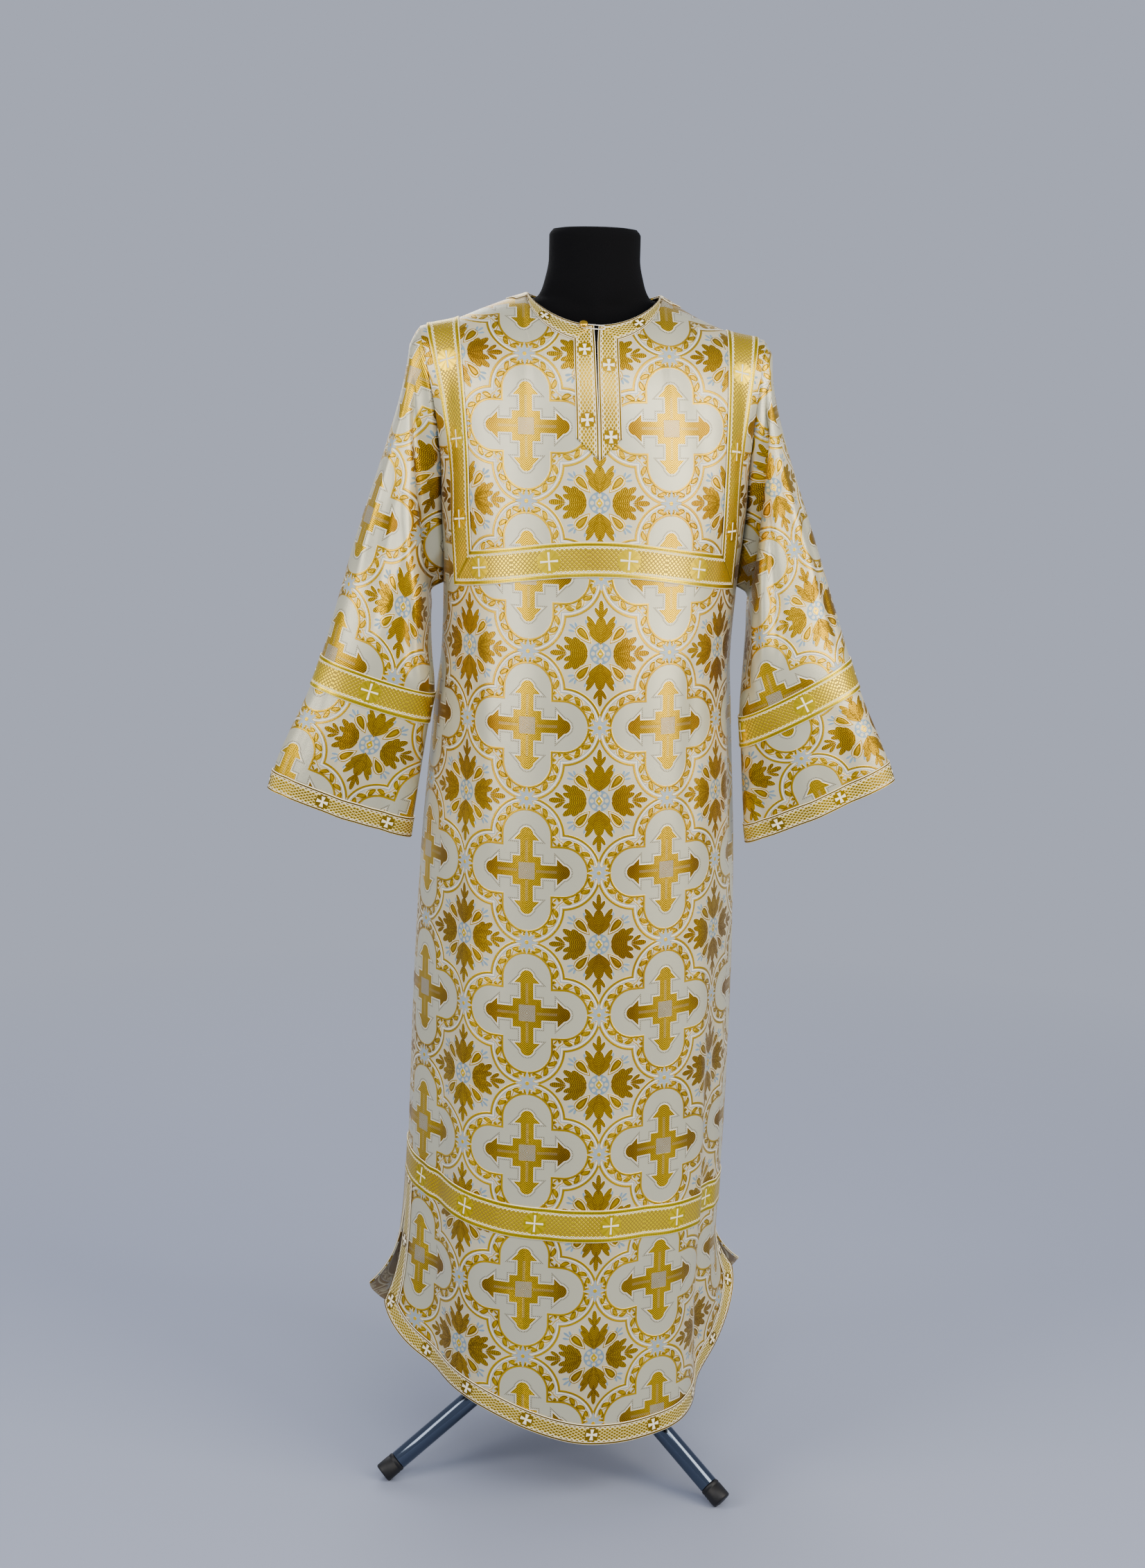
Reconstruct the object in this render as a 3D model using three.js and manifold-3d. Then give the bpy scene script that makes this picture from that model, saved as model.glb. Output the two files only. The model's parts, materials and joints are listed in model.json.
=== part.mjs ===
import * as THREE from 'three';
import Module from 'manifold-3d';

// A brocade sticharion on a limbless dress form with a tripod stand.
// Millimetres, +Z up, the front faces -Y.
// s is the distance along the cloth from the centre front or centre back, + towards +X.

// ---------- driving dimensions ----------

const WALL = 1.2; // thickness of the brocade
const GALLOON_WALL = 1.1; // thickness of the woven trim
const LIFT = 0.35; // space between a trim and the cloth under it
const SEAM = 0.18; // each piece stops this far short of its seam line
const WIDE = 43; // width of the chest, shoulder, sleeve and hem bands
const NARROW = 28; // width of the trim on edges and slits

const NECK_HALF = 86; // half width of the neck opening along the shoulder line
const NECK_TOP = 1556; // height of the shoulder line at the neck
const FRONT = { side: -1, neckDepth: 92, neckDrop: 39, neckSlope: 1.1 };
const BACK = { side: 1, neckDepth: 66, neckDrop: 10, neckSlope: 0.45 };
const SHOULDER_CENTRE = -7; // the garment hangs a little to one side of the pole
const SHOULDER_SCALE = 0.972; // a shoulder's length as seen from the front
const CHEST_HEIGHT = 1320; // where the cloth leaves the shoulders and hangs free
const BAND_INNER = 172; // the shoulder bands run straight down the grain from here
const SLIT_END = 1382; // lowest point of the neck slit
const SLIT_POINT = 1357; // the point of the mitred trim below the slit
const SLIT_HALF_GAP = 3; // half of the slit's opening at the neck
const BAND_OUTER = BAND_INNER + WIDE - 1;

// heights of the shoulder line, on the -X shoulder and on the lower +X shoulder
const SHOULDERS = [
  { out: NECK_HALF, left: NECK_TOP, right: NECK_TOP },
  { out: 112, left: 1548, right: 1542 },
  { out: 142, left: 1537, right: 1527 },
  { out: 178, left: 1523, right: 1514 },
  { out: 222, left: 1513, right: 1505 },
  { out: 262, left: 1490, right: 1482 },
];

// plan of the hanging cloth: centre, half width, depths and how far it has turned on the form
const PLAN = [
  { z: 60, centre: -22, half: 214, front: 209, back: 202, turn: 13 },
  { z: 300, centre: -24, half: 212, front: 203, back: 195, turn: 13 },
  { z: 482, centre: -18, half: 212, front: 197, back: 187, turn: 12 },
  { z: 640, centre: -15, half: 211, front: 192, back: 180, turn: 10.5 },
  { z: 826, centre: -12, half: 206, front: 186, back: 170, turn: 8.5 },
  { z: 1037, centre: -9, half: 192, front: 179, back: 155, turn: 6.6 },
  { z: 1120, centre: -6, half: 186, front: 173, back: 148, turn: 5.5 },
  { z: 1200, centre: -3, half: 188, front: 163, back: 140, turn: 4.5 },
  { z: 1320, centre: -1, half: 197, front: 150, back: 131, turn: 2.3 },
  { z: 1560, centre: -7, half: 200, front: 120, back: 110, turn: 2.3 },
];

// height of the hem and of the hem band, across the cloth from seam to seam
const HEM = [
  { across: -1, hem: 226, backHem: 238, band: 454, backBand: 454 },
  { across: -0.78, hem: 180, backHem: 182, band: 445, backBand: 452 },
  { across: -0.47, hem: 153, backHem: 138, band: 434, backBand: 447 },
  { across: -0.25, hem: 127, backHem: 118, band: 427, backBand: 441 },
  { across: 0, hem: 108, backHem: 112, band: 424, backBand: 434 },
  { across: 0.14, hem: 105, backHem: 114, band: 422, backBand: 430 },
  { across: 0.33, hem: 110, backHem: 122, band: 419, backBand: 424 },
  { across: 0.56, hem: 128, backHem: 142, band: 415, backBand: 418 },
  { across: 0.8, hem: 182, backHem: 182, band: 411, backBand: 413 },
  { across: 1, hem: 250, backHem: 246, band: 409, backBand: 409 },
];
const CHEST_TOP = 1261; // top of the chest band at the centre front
const CHEST_DROP = 25; // how far the bands sink towards the sides

// soft folds that hang from the chest: place along the cloth, width, depth, where they begin
const FOLDS = [
  { panel: FRONT, at: -238, width: 34, depth: -9, from: 1120, full: 520 },
  { panel: FRONT, at: -150, width: 42, depth: 5, from: 900, full: 300 },
  { panel: FRONT, at: -30, width: 60, depth: 4, from: 760, full: 240 },
  { panel: FRONT, at: 120, width: 44, depth: 7, from: 820, full: 200 },
  { panel: FRONT, at: 205, width: 34, depth: -12, from: 980, full: 180 },
  { panel: BACK, at: -205, width: 40, depth: -9, from: 1060, full: 500 },
  { panel: BACK, at: -120, width: 44, depth: 9, from: 1000, full: 300 },
  { panel: BACK, at: -30, width: 46, depth: -10, from: 1120, full: 420 },
  { panel: BACK, at: 62, width: 42, depth: 8, from: 980, full: 260 },
  { panel: BACK, at: 165, width: 46, depth: -11, from: 1080, full: 380 },
];

// the free corners beside the side slits flick outwards: how far out and how far back
const CORNERS = [
  { panel: FRONT, hand: -1, out: 27, back: 0 },
  { panel: FRONT, hand: 1, out: 32, back: -6 },
  { panel: BACK, hand: -1, out: 50, back: 34 },
  { panel: BACK, hand: 1, out: 44, back: 30 },
];
const CORNER_REACH = 62; // how far in from the slit a corner's flick is felt

// the armhole edge: how far out along the cloth it lies at each row line
const ARMHOLE = [
  { line: 0, out: 222 },
  { line: 1, out: 223 },
  { line: 1.5, out: 228 },
  { line: 2, out: 243 },
  { line: 3, out: 257 },
];

// sleeves hang from the armhole: top line and under line of each ring, half depth, middle
const SLEEVE_LEFT = [
  { along: 0, topX: -223, topZ: 1510, underX: -190, underZ: 1194, depth: 52, middle: -12 },
  { along: 0.1, topX: -239, topZ: 1448, underX: -205, underZ: 1174, depth: 58, middle: -15 },
  { along: 0.25, topX: -264, topZ: 1364, underX: -205, underZ: 1146, depth: 67, middle: -24 },
  { along: 0.45, topX: -299, topZ: 1254, underX: -203, underZ: 1110, depth: 60, middle: -36 },
  { along: 0.7, topX: -341, topZ: 1104, underX: -198, underZ: 1058, depth: 46, middle: -50 },
  { along: 0.77, topX: -355, topZ: 1064, underX: -205, underZ: 1018, depth: 42, middle: -50 },
  { along: 0.95, topX: -404, topZ: 953, underX: -224, underZ: 894, depth: 33, middle: -44 },
  { along: 1, topX: -411, topZ: 927, underX: -228, underZ: 867, depth: 31, middle: -42 },
];
const SLEEVE_RIGHT = [
  { along: 0, topX: 209, topZ: 1502, underX: 184, underZ: 1194, depth: 52, middle: 10 },
  { along: 0.1, topX: 219, topZ: 1452, underX: 198, underZ: 1174, depth: 58, middle: 8 },
  { along: 0.25, topX: 240, topZ: 1376, underX: 198, underZ: 1146, depth: 67, middle: -6 },
  { along: 0.45, topX: 276, topZ: 1270, underX: 195, underZ: 1098, depth: 60, middle: -22 },
  { along: 0.7, topX: 328, topZ: 1113, underX: 191, underZ: 1034, depth: 46, middle: -42 },
  { along: 0.77, topX: 342, topZ: 1074, underX: 194, underZ: 994, depth: 42, middle: -44 },
  { along: 0.95, topX: 384, topZ: 980, underX: 202, underZ: 894, depth: 33, middle: -40 },
  { along: 1, topX: 393, topZ: 954, underX: 206, underZ: 868, depth: 31, middle: -38 },
];
const SLEEVE_RINGS = [0, 0.035, 0.085, 0.15, 0.23, 0.32, 0.42, 0.52, 0.61, 0.7, 0.77, 0.86, 0.95, 1];
const BAND_RING = 9; // the sleeve band lies between this ring and the next
const CUFF_RING = 12; // the cuff trim lies between this ring and the last
const BLEND = 0.35; // the armhole's shape fades out over this share of a sleeve
const STAND_OFF = { out: 12, reach: 0.07 }; // the cloth springs outwards at the armhole seam
const SLEEVE_FOLDS = [
  { round: 0.2, width: 0.07, depth: -7, from: 0.12, full: 0.35, gone: 0.7 },
  { round: 0.36, width: 0.06, depth: 6, from: 0.1, full: 0.3, gone: 0.75 },
  { round: 0.66, width: 0.07, depth: -7, from: 0.12, full: 0.35, gone: 0.8 },
];

// the dress form: half widths on each side, depths front and back
const SEAT_GAP = 0.6; // the cloth rests this far above the form's shoulders
const FORM = [
  { z: 850, left: 150, right: 150, front: 104, back: 104 },
  { z: 905, left: 160, right: 160, front: 112, back: 114 },
  { z: 1000, left: 150, right: 150, front: 104, back: 108 },
  { z: 1110, left: 134, right: 134, front: 98, back: 94 },
  { z: 1200, left: 148, right: 148, front: 114, back: 100 },
  { z: 1290, left: 164, right: 160, front: 124, back: 110 },
  { z: 1380, left: 172, right: 166, front: 114, back: 106 },
  { z: 1440, left: 178, right: 170, front: 88, back: 88 },
  { z: 1480, left: 178, right: 168, front: 70, back: 70, pinch: 1.1 },
  { z: 1502, left: 172, right: 160, front: 60, back: 60, pinch: 1.3 },
];
const SEAT_HEIGHTS = [1516, 1528, 1539]; // rings of the form whose sides carry the cloth
const SEAT_PINCH = 1.6; // how sharply these rings narrow towards the shoulder tips
const FORM_NECK = [
  { z: 1553, left: 70, right: 70, front: 58, back: 57, pinch: 1.15 },
  { z: 1572, left: 62, right: 62, front: 57, back: 56 },
  { z: 1600, left: 57, right: 57, front: 56, back: 56 },
  { z: 1628, left: 57, right: 57, front: 56, back: 56 },
  { z: 1635, left: 52, right: 52, front: 51, back: 51 },
];
const FORM_TOP = 1638;
const FORM_SIDES = 28;

const STAND = { x: -13, y: -6 }; // the pole's place under the form
const POLE_RADIUS = 14;
const HUB = { radius: 27, bottom: 152, top: 214 };
const LEG = { radius: 12.5, hubHeight: 190, reach: 262, footHeight: 9 };
const CAP = { radius: 14.2, length: 26 };
const LEG_ANGLES = [-66.6, 53.4, 173.4]; // degrees from the front, towards +X
const FACE_GAP = 0.3;

const BUTTON = { headRadius: 5.2, headHeight: 3.2, shankRadius: 1.7, shankHeight: 4.8 };
const LOOP = { inner: 2.3, width: 1.3, thickness: 1.1, from: 9, to: -14, below: 6 };

// ---------- materials ----------

const brocade = new THREE.MeshStandardMaterial({ color: 0xd9cbb0, roughness: 0.5, metalness: 0.15 });
const galloon = new THREE.MeshStandardMaterial({ color: 0xc79d2c, roughness: 0.42, metalness: 0.55 });
const jersey = new THREE.MeshStandardMaterial({ color: 0x17161a, roughness: 0.92, metalness: 0 });
const chrome = new THREE.MeshStandardMaterial({ color: 0xc9cbd0, roughness: 0.16, metalness: 1 });
const plastic = new THREE.MeshStandardMaterial({ color: 0x18181a, roughness: 0.5, metalness: 0 });
const giltMetal = new THREE.MeshStandardMaterial({ color: 0xc9982f, roughness: 0.3, metalness: 1 });
const thread = new THREE.MeshStandardMaterial({ color: 0xefeadf, roughness: 0.8, metalness: 0 });

// ---------- small helpers ----------

const vec = (x, y, z) => new THREE.Vector3(x, y, z);
const radians = THREE.MathUtils.degToRad;
const mix = THREE.MathUtils.lerp;
const smooth = (x) => THREE.MathUtils.smoothstep(x, 0, 1);

// a smooth curve through one column of a table, without overshoot
function through(rows, key, column) {
  const last = rows.length - 1;
  const slope = rows.slice(1).map((row, i) => (row[column] - rows[i][column]) / (row[key] - rows[i][key]));
  const tangent = rows.map((_, i) => {
    if (i === 0) return slope[0];
    if (i === last) return slope[last - 1];
    const product = slope[i - 1] * slope[i];
    return product <= 0 ? 0 : (2 * product) / (slope[i - 1] + slope[i]);
  });
  return (at) => {
    const x = THREE.MathUtils.clamp(at, rows[0][key], rows[last][key]);
    let i = 0;
    while (i < last - 1 && x > rows[i + 1][key]) i += 1;
    const span = rows[i + 1][key] - rows[i][key];
    const t = (x - rows[i][key]) / span;
    const rise = t * t * (3 - 2 * t);
    const ease = span * t * (1 - t);
    return mix(rows[i][column], rows[i + 1][column], rise)
      + ease * ((1 - t) * tangent[i] - t * tangent[i + 1]);
  };
}

const columns = (rows, key, names) =>
  Object.fromEntries(names.map((name) => [name, through(rows, key, name)]));

// ---------- the garment as one surface ----------

const plan = columns(PLAN, 'z', ['centre', 'half', 'front', 'back', 'turn']);
const shoulder = columns(SHOULDERS, 'out', ['left', 'right']);
const hemLine = columns(HEM, 'across', ['hem', 'backHem', 'band', 'backBand']);
const armhole = through(ARMHOLE, 'line', 'out');

const depthAt = (panel, z) => (panel === FRONT ? plan.front(z) : plan.back(z));

// length of an ellipse's arc from its front to an angle, by Simpson's rule
function arcLength(half, depth, angle) {
  const steps = 12;
  const speed = (t) => Math.hypot(half * Math.cos(t), depth * Math.sin(t));
  let sum = speed(0) + speed(angle);
  for (let k = 1; k < steps; k += 1) sum += (k % 2 ? 4 : 2) * speed((angle * k) / steps);
  return (sum * angle) / (3 * steps);
}

// the angle at which that arc reaches a given length
function angleAtArc(half, depth, length) {
  let angle = length / ((half + depth) / 2);
  for (let k = 0; k < 5; k += 1) {
    const speed = Math.hypot(half * Math.cos(angle), depth * Math.sin(angle));
    angle -= (arcLength(half, depth, angle) - length) / speed;
  }
  return angle;
}

const seamDistance = (panel, z) => arcLength(plan.half(z), depthAt(panel, z), Math.PI / 2);

function foldDepth(panel, s, z) {
  return FOLDS.filter((fold) => fold.panel === panel).reduce((sum, fold) => {
    const across = Math.exp(-(((s - fold.at) / fold.width) ** 2));
    return sum + fold.depth * across * smooth((fold.from - z) / (fold.from - fold.full));
  }, 0);
}

// the hanging cloth: an ellipse for each height, with folds, turned about the form
function hangingPoint(panel, s, z) {
  const half = plan.half(z);
  const depth = depthAt(panel, z);
  const angle = angleAtArc(half, depth, s);
  const out = foldDepth(panel, s, z);
  const x = (half + out) * Math.sin(angle);
  const y = panel.side * (depth + out) * Math.cos(angle);
  const turn = radians(plan.turn(z));
  return vec(
    plan.centre(z) + x * Math.cos(turn) - y * Math.sin(turn),
    x * Math.sin(turn) + y * Math.cos(turn),
    z,
  );
}

// the neckline and the shoulder line
function topPoint(panel, s) {
  const out = Math.abs(s);
  const round = Math.max(0, 1 - (out / NECK_HALF) ** 2);
  const side = s < 0 ? 'left' : 'right';
  const height = out < NECK_HALF ? NECK_TOP - panel.neckDrop * round ** 0.8 : shoulder[side](out);
  const y = panel.side * panel.neckDepth * Math.sqrt(round);
  const turn = radians(plan.turn(CHEST_HEIGHT));
  const x = s * SHOULDER_SCALE;
  return vec(
    SHOULDER_CENTRE + x * Math.cos(turn) - y * Math.sin(turn),
    x * Math.sin(turn) + y * Math.cos(turn),
    height,
  );
}

// over the shoulder: a cubic Bezier curve from the top line down to the chest
function shoulderCurve(panel, s) {
  const start = topPoint(panel, s);
  const end = hangingPoint(panel, s, CHEST_HEIGHT);
  const below = hangingPoint(panel, s, CHEST_HEIGHT - 20);
  const reach = start.distanceTo(end);
  const round = Math.max(0, 1 - (s / NECK_HALF) ** 2);
  const leave = vec(0, panel.side, -panel.neckSlope * Math.sqrt(round)).normalize();
  const arrive = end.clone().sub(below).normalize();
  return new THREE.CubicBezierCurve3(
    start,
    start.clone().addScaledVector(leave, 0.3 * reach),
    end.clone().addScaledVector(arrive, 0.5 * reach),
    end,
  );
}

// row lines: 0 top edge, 1 foot of the neck trim, 2 chest, 3 and 4 the chest band,
// 5 and 6 the hem band, 7 top of the hem trim, 8 hem
function lineHeight(panel, s, line) {
  const across = THREE.MathUtils.clamp(s / seamDistance(panel, line < 5 ? 1200 : 300), -1, 1);
  const sink = CHEST_DROP * (1 - Math.exp(-((1.83 * across) ** 2)));
  const band = hemLine[panel === FRONT ? 'band' : 'backBand'](across);
  const hem = hemLine[panel === FRONT ? 'hem' : 'backHem'](across);
  return [0, 0, CHEST_HEIGHT, CHEST_TOP - sink, CHEST_TOP - WIDE - sink,
    band, band - WIDE, hem + NARROW, hem][line];
}

function flick(panel, s, z) {
  const corner = CORNERS.find((c) => c.panel === panel && c.hand === Math.sign(s));
  const edge = seamDistance(panel, 300);
  const top = lineHeight(panel, s, 6);
  const hem = lineHeight(panel, s, 8);
  if (!corner || z > top) return vec(0, 0, 0);
  const down = ((top - z) / (top - hem)) ** 3;
  const near = Math.exp(-(((edge - Math.abs(s)) / CORNER_REACH) ** 2));
  return vec(corner.hand * corner.out, corner.back, 0).multiplyScalar(down * near);
}

function clothPoint(panel, s, row) {
  const line = Math.min(Math.floor(row), 7);
  if (line < 2) {
    const curve = shoulderCurve(panel, s);
    const first = NARROW / (3 * curve.v0.distanceTo(curve.v1));
    return curve.getPoint(line === 0 ? first * row : mix(first, 1, row - 1));
  }
  const z = mix(lineHeight(panel, s, line), lineHeight(panel, s, line + 1), row - line);
  return hangingPoint(panel, s, z).add(flick(panel, s, z));
}

// ---------- the grid that every piece shares ----------

// how far down the shoulder curve a height lies at the centre front
function rowAtHeight(height) {
  let low = 1;
  let high = 2;
  for (let k = 0; k < 30; k += 1) {
    const middle = (low + high) / 2;
    if (clothPoint(FRONT, 0, middle).z > height) low = middle;
    else high = middle;
  }
  return low;
}

const slitRow = rowAtHeight(SLIT_END);
const pointRow = rowAtHeight(SLIT_POINT);
const between = (from, to, cells) => Array.from({ length: cells }, (_, k) => mix(from, to, k / cells));
const ROWS = [
  0,
  ...between(1, slitRow, 4), slitRow, pointRow, (pointRow + 2) / 2,
  2, 3,
  ...between(4, 5, 9),
  5,
  ...between(6, 7, 4),
  7, 8,
];
const rowOf = (line) => ROWS.indexOf(line);
const SLIT_ROW = rowOf(slitRow);
const UNDERARM = rowOf(4);
const SIDE_SLIT = rowOf(6);
const LAST_ROW = ROWS.length - 1;

// columns from the centre outwards, at the top line and below the chest
const COLUMN_TOP = [0, NARROW, 46, 62, 76, NECK_HALF, 113, 142, BAND_INNER, BAND_OUTER];
const COLUMN_LOW = [0, NARROW, 49, 70, 91, 112, 132, 152, BAND_INNER, BAND_OUTER];
const NECK_COLUMN = 5;
const BAND_COLUMN = 8;
const EDGE_COLUMN = COLUMN_TOP.length + 2;

function edgeDistance(panel, hand, row) {
  const line = Math.min(Math.floor(row), 7);
  if (row <= 3) return armhole(row);
  const nearEdge = hand * 300;
  const z = mix(lineHeight(panel, nearEdge, line), lineHeight(panel, nearEdge, line + 1), row - line);
  return row < 4 ? mix(armhole(3), seamDistance(panel, z), row - 3) : seamDistance(panel, z);
}

function columnDistance(panel, hand, column, row) {
  if (column === 0) {
    const open = panel === FRONT ? SLIT_HALF_GAP * Math.max(0, 1 - row / slitRow) : 0;
    return hand * open;
  }
  if (column < COLUMN_TOP.length) {
    return hand * mix(COLUMN_TOP[column], COLUMN_LOW[column], Math.min(1, row / 2));
  }
  const edge = edgeDistance(panel, hand, row);
  const inner = edge - Math.min(NARROW, 0.4 * (edge - BAND_OUTER));
  return hand * [(BAND_OUTER + inner) / 2, inner, edge][column - COLUMN_TOP.length];
}

const points = [];
const known = new Map();

function vertex(key, make) {
  if (!known.has(key)) {
    known.set(key, points.length);
    points.push(make());
  }
  return known.get(key);
}

// seams share one vertex: the shoulder line, the side seams and the centre below the slit
function bodyVertex(panel, hand, column, row) {
  const onShoulder = row === 0 && column >= NECK_COLUMN;
  const onSide = column === EDGE_COLUMN && row >= UNDERARM && row <= SIDE_SLIT;
  const onCentre = column === 0 && (panel === BACK || row >= SLIT_ROW);
  const owner = onShoulder || onSide ? FRONT : panel;
  const side = onCentre ? 0 : hand;
  return vertex(`${owner.side} ${side} ${column} ${row}`, () =>
    clothPoint(owner, columnDistance(owner, hand, column, ROWS[row]), ROWS[row]));
}

const faces = [];

function addFace(corners, flipped, facts) {
  faces.push({ corners: flipped ? [...corners].reverse() : corners, ...facts });
}

// each cell is cut from its inner top to its outer bottom, or the other way where a mitre needs it
function addCell(corner, flipped, crossCut, facts) {
  const [a, b, c, d] = corner;
  if (crossCut) {
    addFace([a, b, d], flipped, { ...facts, half: 'upperInner' });
    addFace([b, c, d], flipped, { ...facts, half: 'lowerOuter' });
  } else {
    addFace([a, b, c], flipped, { ...facts, half: 'lowerInner' });
    addFace([a, c, d], flipped, { ...facts, half: 'upperOuter' });
  }
}

for (const panel of [FRONT, BACK]) {
  for (const hand of [-1, 1]) {
    for (let row = 0; row < LAST_ROW; row += 1) {
      for (let column = 0; column < EDGE_COLUMN; column += 1) {
        const neckEnd = column === NECK_COLUMN && row === 0;
        const slitEnd = panel === FRONT && column === 0 && row === SLIT_ROW;
        addCell([
          bodyVertex(panel, hand, column, row),
          bodyVertex(panel, hand, column, row + 1),
          bodyVertex(panel, hand, column + 1, row + 1),
          bodyVertex(panel, hand, column + 1, row),
        ], panel.side * hand > 0, neckEnd || slitEnd, { panel, hand, column, row });
      }
    }
  }
}

// ---------- sleeves, grown from the armhole's own vertices ----------

const RING_SIDES = 2 * UNDERARM;

function sleeveRing(table, along, turn) {
  const at = (column) => through(table, 'along', column)(along);
  const top = vec(at('topX'), at('middle'), at('topZ'));
  const under = vec(at('underX'), at('middle'), at('underZ'));
  const across = Math.sin(turn);
  const deep = -Math.sign(across) * at('depth') * Math.abs(across) ** 0.85;
  return top.clone().add(under).multiplyScalar(0.5)
    .addScaledVector(top.clone().sub(under), 0.5 * Math.cos(turn))
    .add(vec(0, deep, 0));
}

function sleeveFold(turn, along) {
  const round = turn / (2 * Math.PI);
  return SLEEVE_FOLDS.reduce((sum, fold) => {
    const grow = smooth((along - fold.from) / (fold.full - fold.from));
    const fade = 1 - smooth((along - fold.full) / (fold.gone - fold.full));
    return sum + fold.depth * grow * fade * Math.exp(-(((round - fold.round) / fold.width) ** 2));
  }, 0);
}

const sleeveNext = new Map(); // from each armhole vertex, the sleeve's next one

function addSleeve(hand, table) {
  const start = Array.from({ length: RING_SIDES }, (_, k) => (k <= UNDERARM
    ? bodyVertex(FRONT, hand, EDGE_COLUMN, k)
    : bodyVertex(BACK, hand, EDGE_COLUMN, RING_SIDES - k)));
  const lengths = start.map((id, k) => points[id].distanceTo(points[start[(k + 1) % RING_SIDES]]));
  const sum = (from, to) => lengths.slice(from, to).reduce((total, length) => total + length, 0);
  const turns = start.map((_, k) => (k <= UNDERARM
    ? (Math.PI * sum(0, k)) / sum(0, UNDERARM)
    : Math.PI + (Math.PI * sum(UNDERARM, k)) / sum(UNDERARM, RING_SIDES)));
  const rings = SLEEVE_RINGS.map((along, ring) => start.map((id, k) => {
    if (ring === 0) return id;
    const fade = Math.max(0, 1 - along / BLEND) ** 4;
    const offset = points[id].clone().sub(sleeveRing(table, 0, turns[k])).multiplyScalar(fade);
    const outward = vec(0, -Math.sign(Math.sin(turns[k])), 0);
    offset.x += hand * STAND_OFF.out * Math.exp(-along / STAND_OFF.reach);
    return vertex(`sleeve ${hand} ${ring} ${k}`, () => sleeveRing(table, along, turns[k])
      .add(offset).addScaledVector(outward, sleeveFold(turns[k], along)));
  }));
  rings[0].forEach((id, k) => sleeveNext.set(id, rings[1][k]));
  for (let ring = 0; ring < rings.length - 1; ring += 1) {
    for (let k = 0; k < RING_SIDES; k += 1) {
      const next = (k + 1) % RING_SIDES;
      addCell([rings[ring][k], rings[ring + 1][k], rings[ring + 1][next], rings[ring][next]],
        hand > 0, false, { sleeve: hand, ring });
    }
  }
}

addSleeve(-1, SLEEVE_LEFT);
addSleeve(1, SLEEVE_RIGHT);

// normals, one for each vertex and piece; body and sleeve share theirs where the cloth turns down
// over the shoulder, and keep their own in the tuck under the arm
const BODY = 0;
const pieceNormals = points.map(() => new Map());
for (const face of faces) {
  const [a, b, c] = face.corners.map((id) => points[id]);
  const normal = b.clone().sub(a).cross(c.clone().sub(a));
  face.normal = normal.clone().normalize();
  const piece = face.sleeve ?? BODY;
  for (const id of face.corners) {
    pieceNormals[id].set(piece, normal.clone().add(pieceNormals[id].get(piece) ?? vec(0, 0, 0)));
  }
}
pieceNormals.forEach((pieces) => pieces.forEach((normal) => normal.normalize()));
for (const [id, next] of sleeveNext) {
  const [body, sleeve] = [...pieceNormals[id].values()];
  if (points[next].clone().sub(points[id]).dot(body) < 0) {
    const shared = body.clone().add(sleeve).normalize();
    body.copy(shared);
    sleeve.copy(shared);
  }
}
const normalAt = (id, face) => pieceNormals[id].get(face.sleeve ?? BODY);

// ---------- walls ----------

const group = new THREE.Group();

function addMesh(name, geometry, material) {
  const mesh = new THREE.Mesh(geometry, material);
  mesh.name = name;
  group.add(mesh);
  return mesh;
}

function geometryFrom(list, triangles) {
  const geometry = new THREE.BufferGeometry();
  geometry.setAttribute('position', new THREE.Float32BufferAttribute(list.flatMap((p) => p.toArray()), 3));
  geometry.setIndex(triangles);
  geometry.computeVertexNormals();
  return geometry;
}

// boundary edges are those that only one face uses
function boundaryOf(chosen) {
  const edges = new Map();
  for (const face of chosen) {
    face.corners.forEach((from, k) => {
      const to = face.corners[(k + 1) % 3];
      if (edges.has(`${to} ${from}`)) edges.delete(`${to} ${from}`);
      else edges.set(`${from} ${to}`, { from, to, face });
    });
  }
  return [...edges.values()];
}

// a closed wall on some of the shared faces, between two distances from the surface
function addWall(name, chosen, low, high, material) {
  const boundary = boundaryOf(chosen);
  const pull = new Map();
  for (const { from, to, face } of boundary) {
    const inward = face.normal.clone().cross(points[to].clone().sub(points[from]).normalize());
    for (const id of [from, to]) pull.set(id, (pull.get(id) ?? vec(0, 0, 0)).add(inward));
  }
  const ids = [...new Set(chosen.flatMap((face) => face.corners))];
  const place = new Map(ids.map((id, k) => [id, k]));
  const at = (id, distance) => {
    const inward = pull.get(id);
    const square = inward ? Math.max(inward.lengthSq(), 0.8) : 1;
    const base = points[id].clone().addScaledVector(normalAt(id, chosen[0]), distance);
    return inward ? base.addScaledVector(inward, (2 * SEAM) / square) : base;
  };
  const list = [...ids.map((id) => at(id, high)), ...ids.map((id) => at(id, low))];
  const under = ids.length;
  const triangles = chosen.flatMap(({ corners }) => {
    const [a, b, c] = corners.map((id) => place.get(id));
    return [a, b, c, under + c, under + b, under + a];
  });
  for (const { from, to } of boundary) {
    const a = place.get(from);
    const b = place.get(to);
    triangles.push(b, a, under + a, b, under + a, under + b);
  }
  addMesh(name, geometryFrom(list, triangles), material);
}

const addCloth = (name, test) => addWall(name, faces.filter(test), -WALL, 0, brocade);
const addTrim = (name, test) =>
  addWall(name, faces.filter(test), LIFT, LIFT + GALLOON_WALL, galloon);

const hands = [['left', -1], ['right', 1]];
const isUpper = (f) => f.half === 'upperOuter';
const isLower = (f) => f.half === 'lowerInner';

addCloth('front_panel', (f) => f.panel === FRONT);
addCloth('back_panel', (f) => f.panel === BACK);
for (const [word, hand] of hands) addCloth(`sleeve_${word}`, (f) => f.sleeve === hand);

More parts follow.
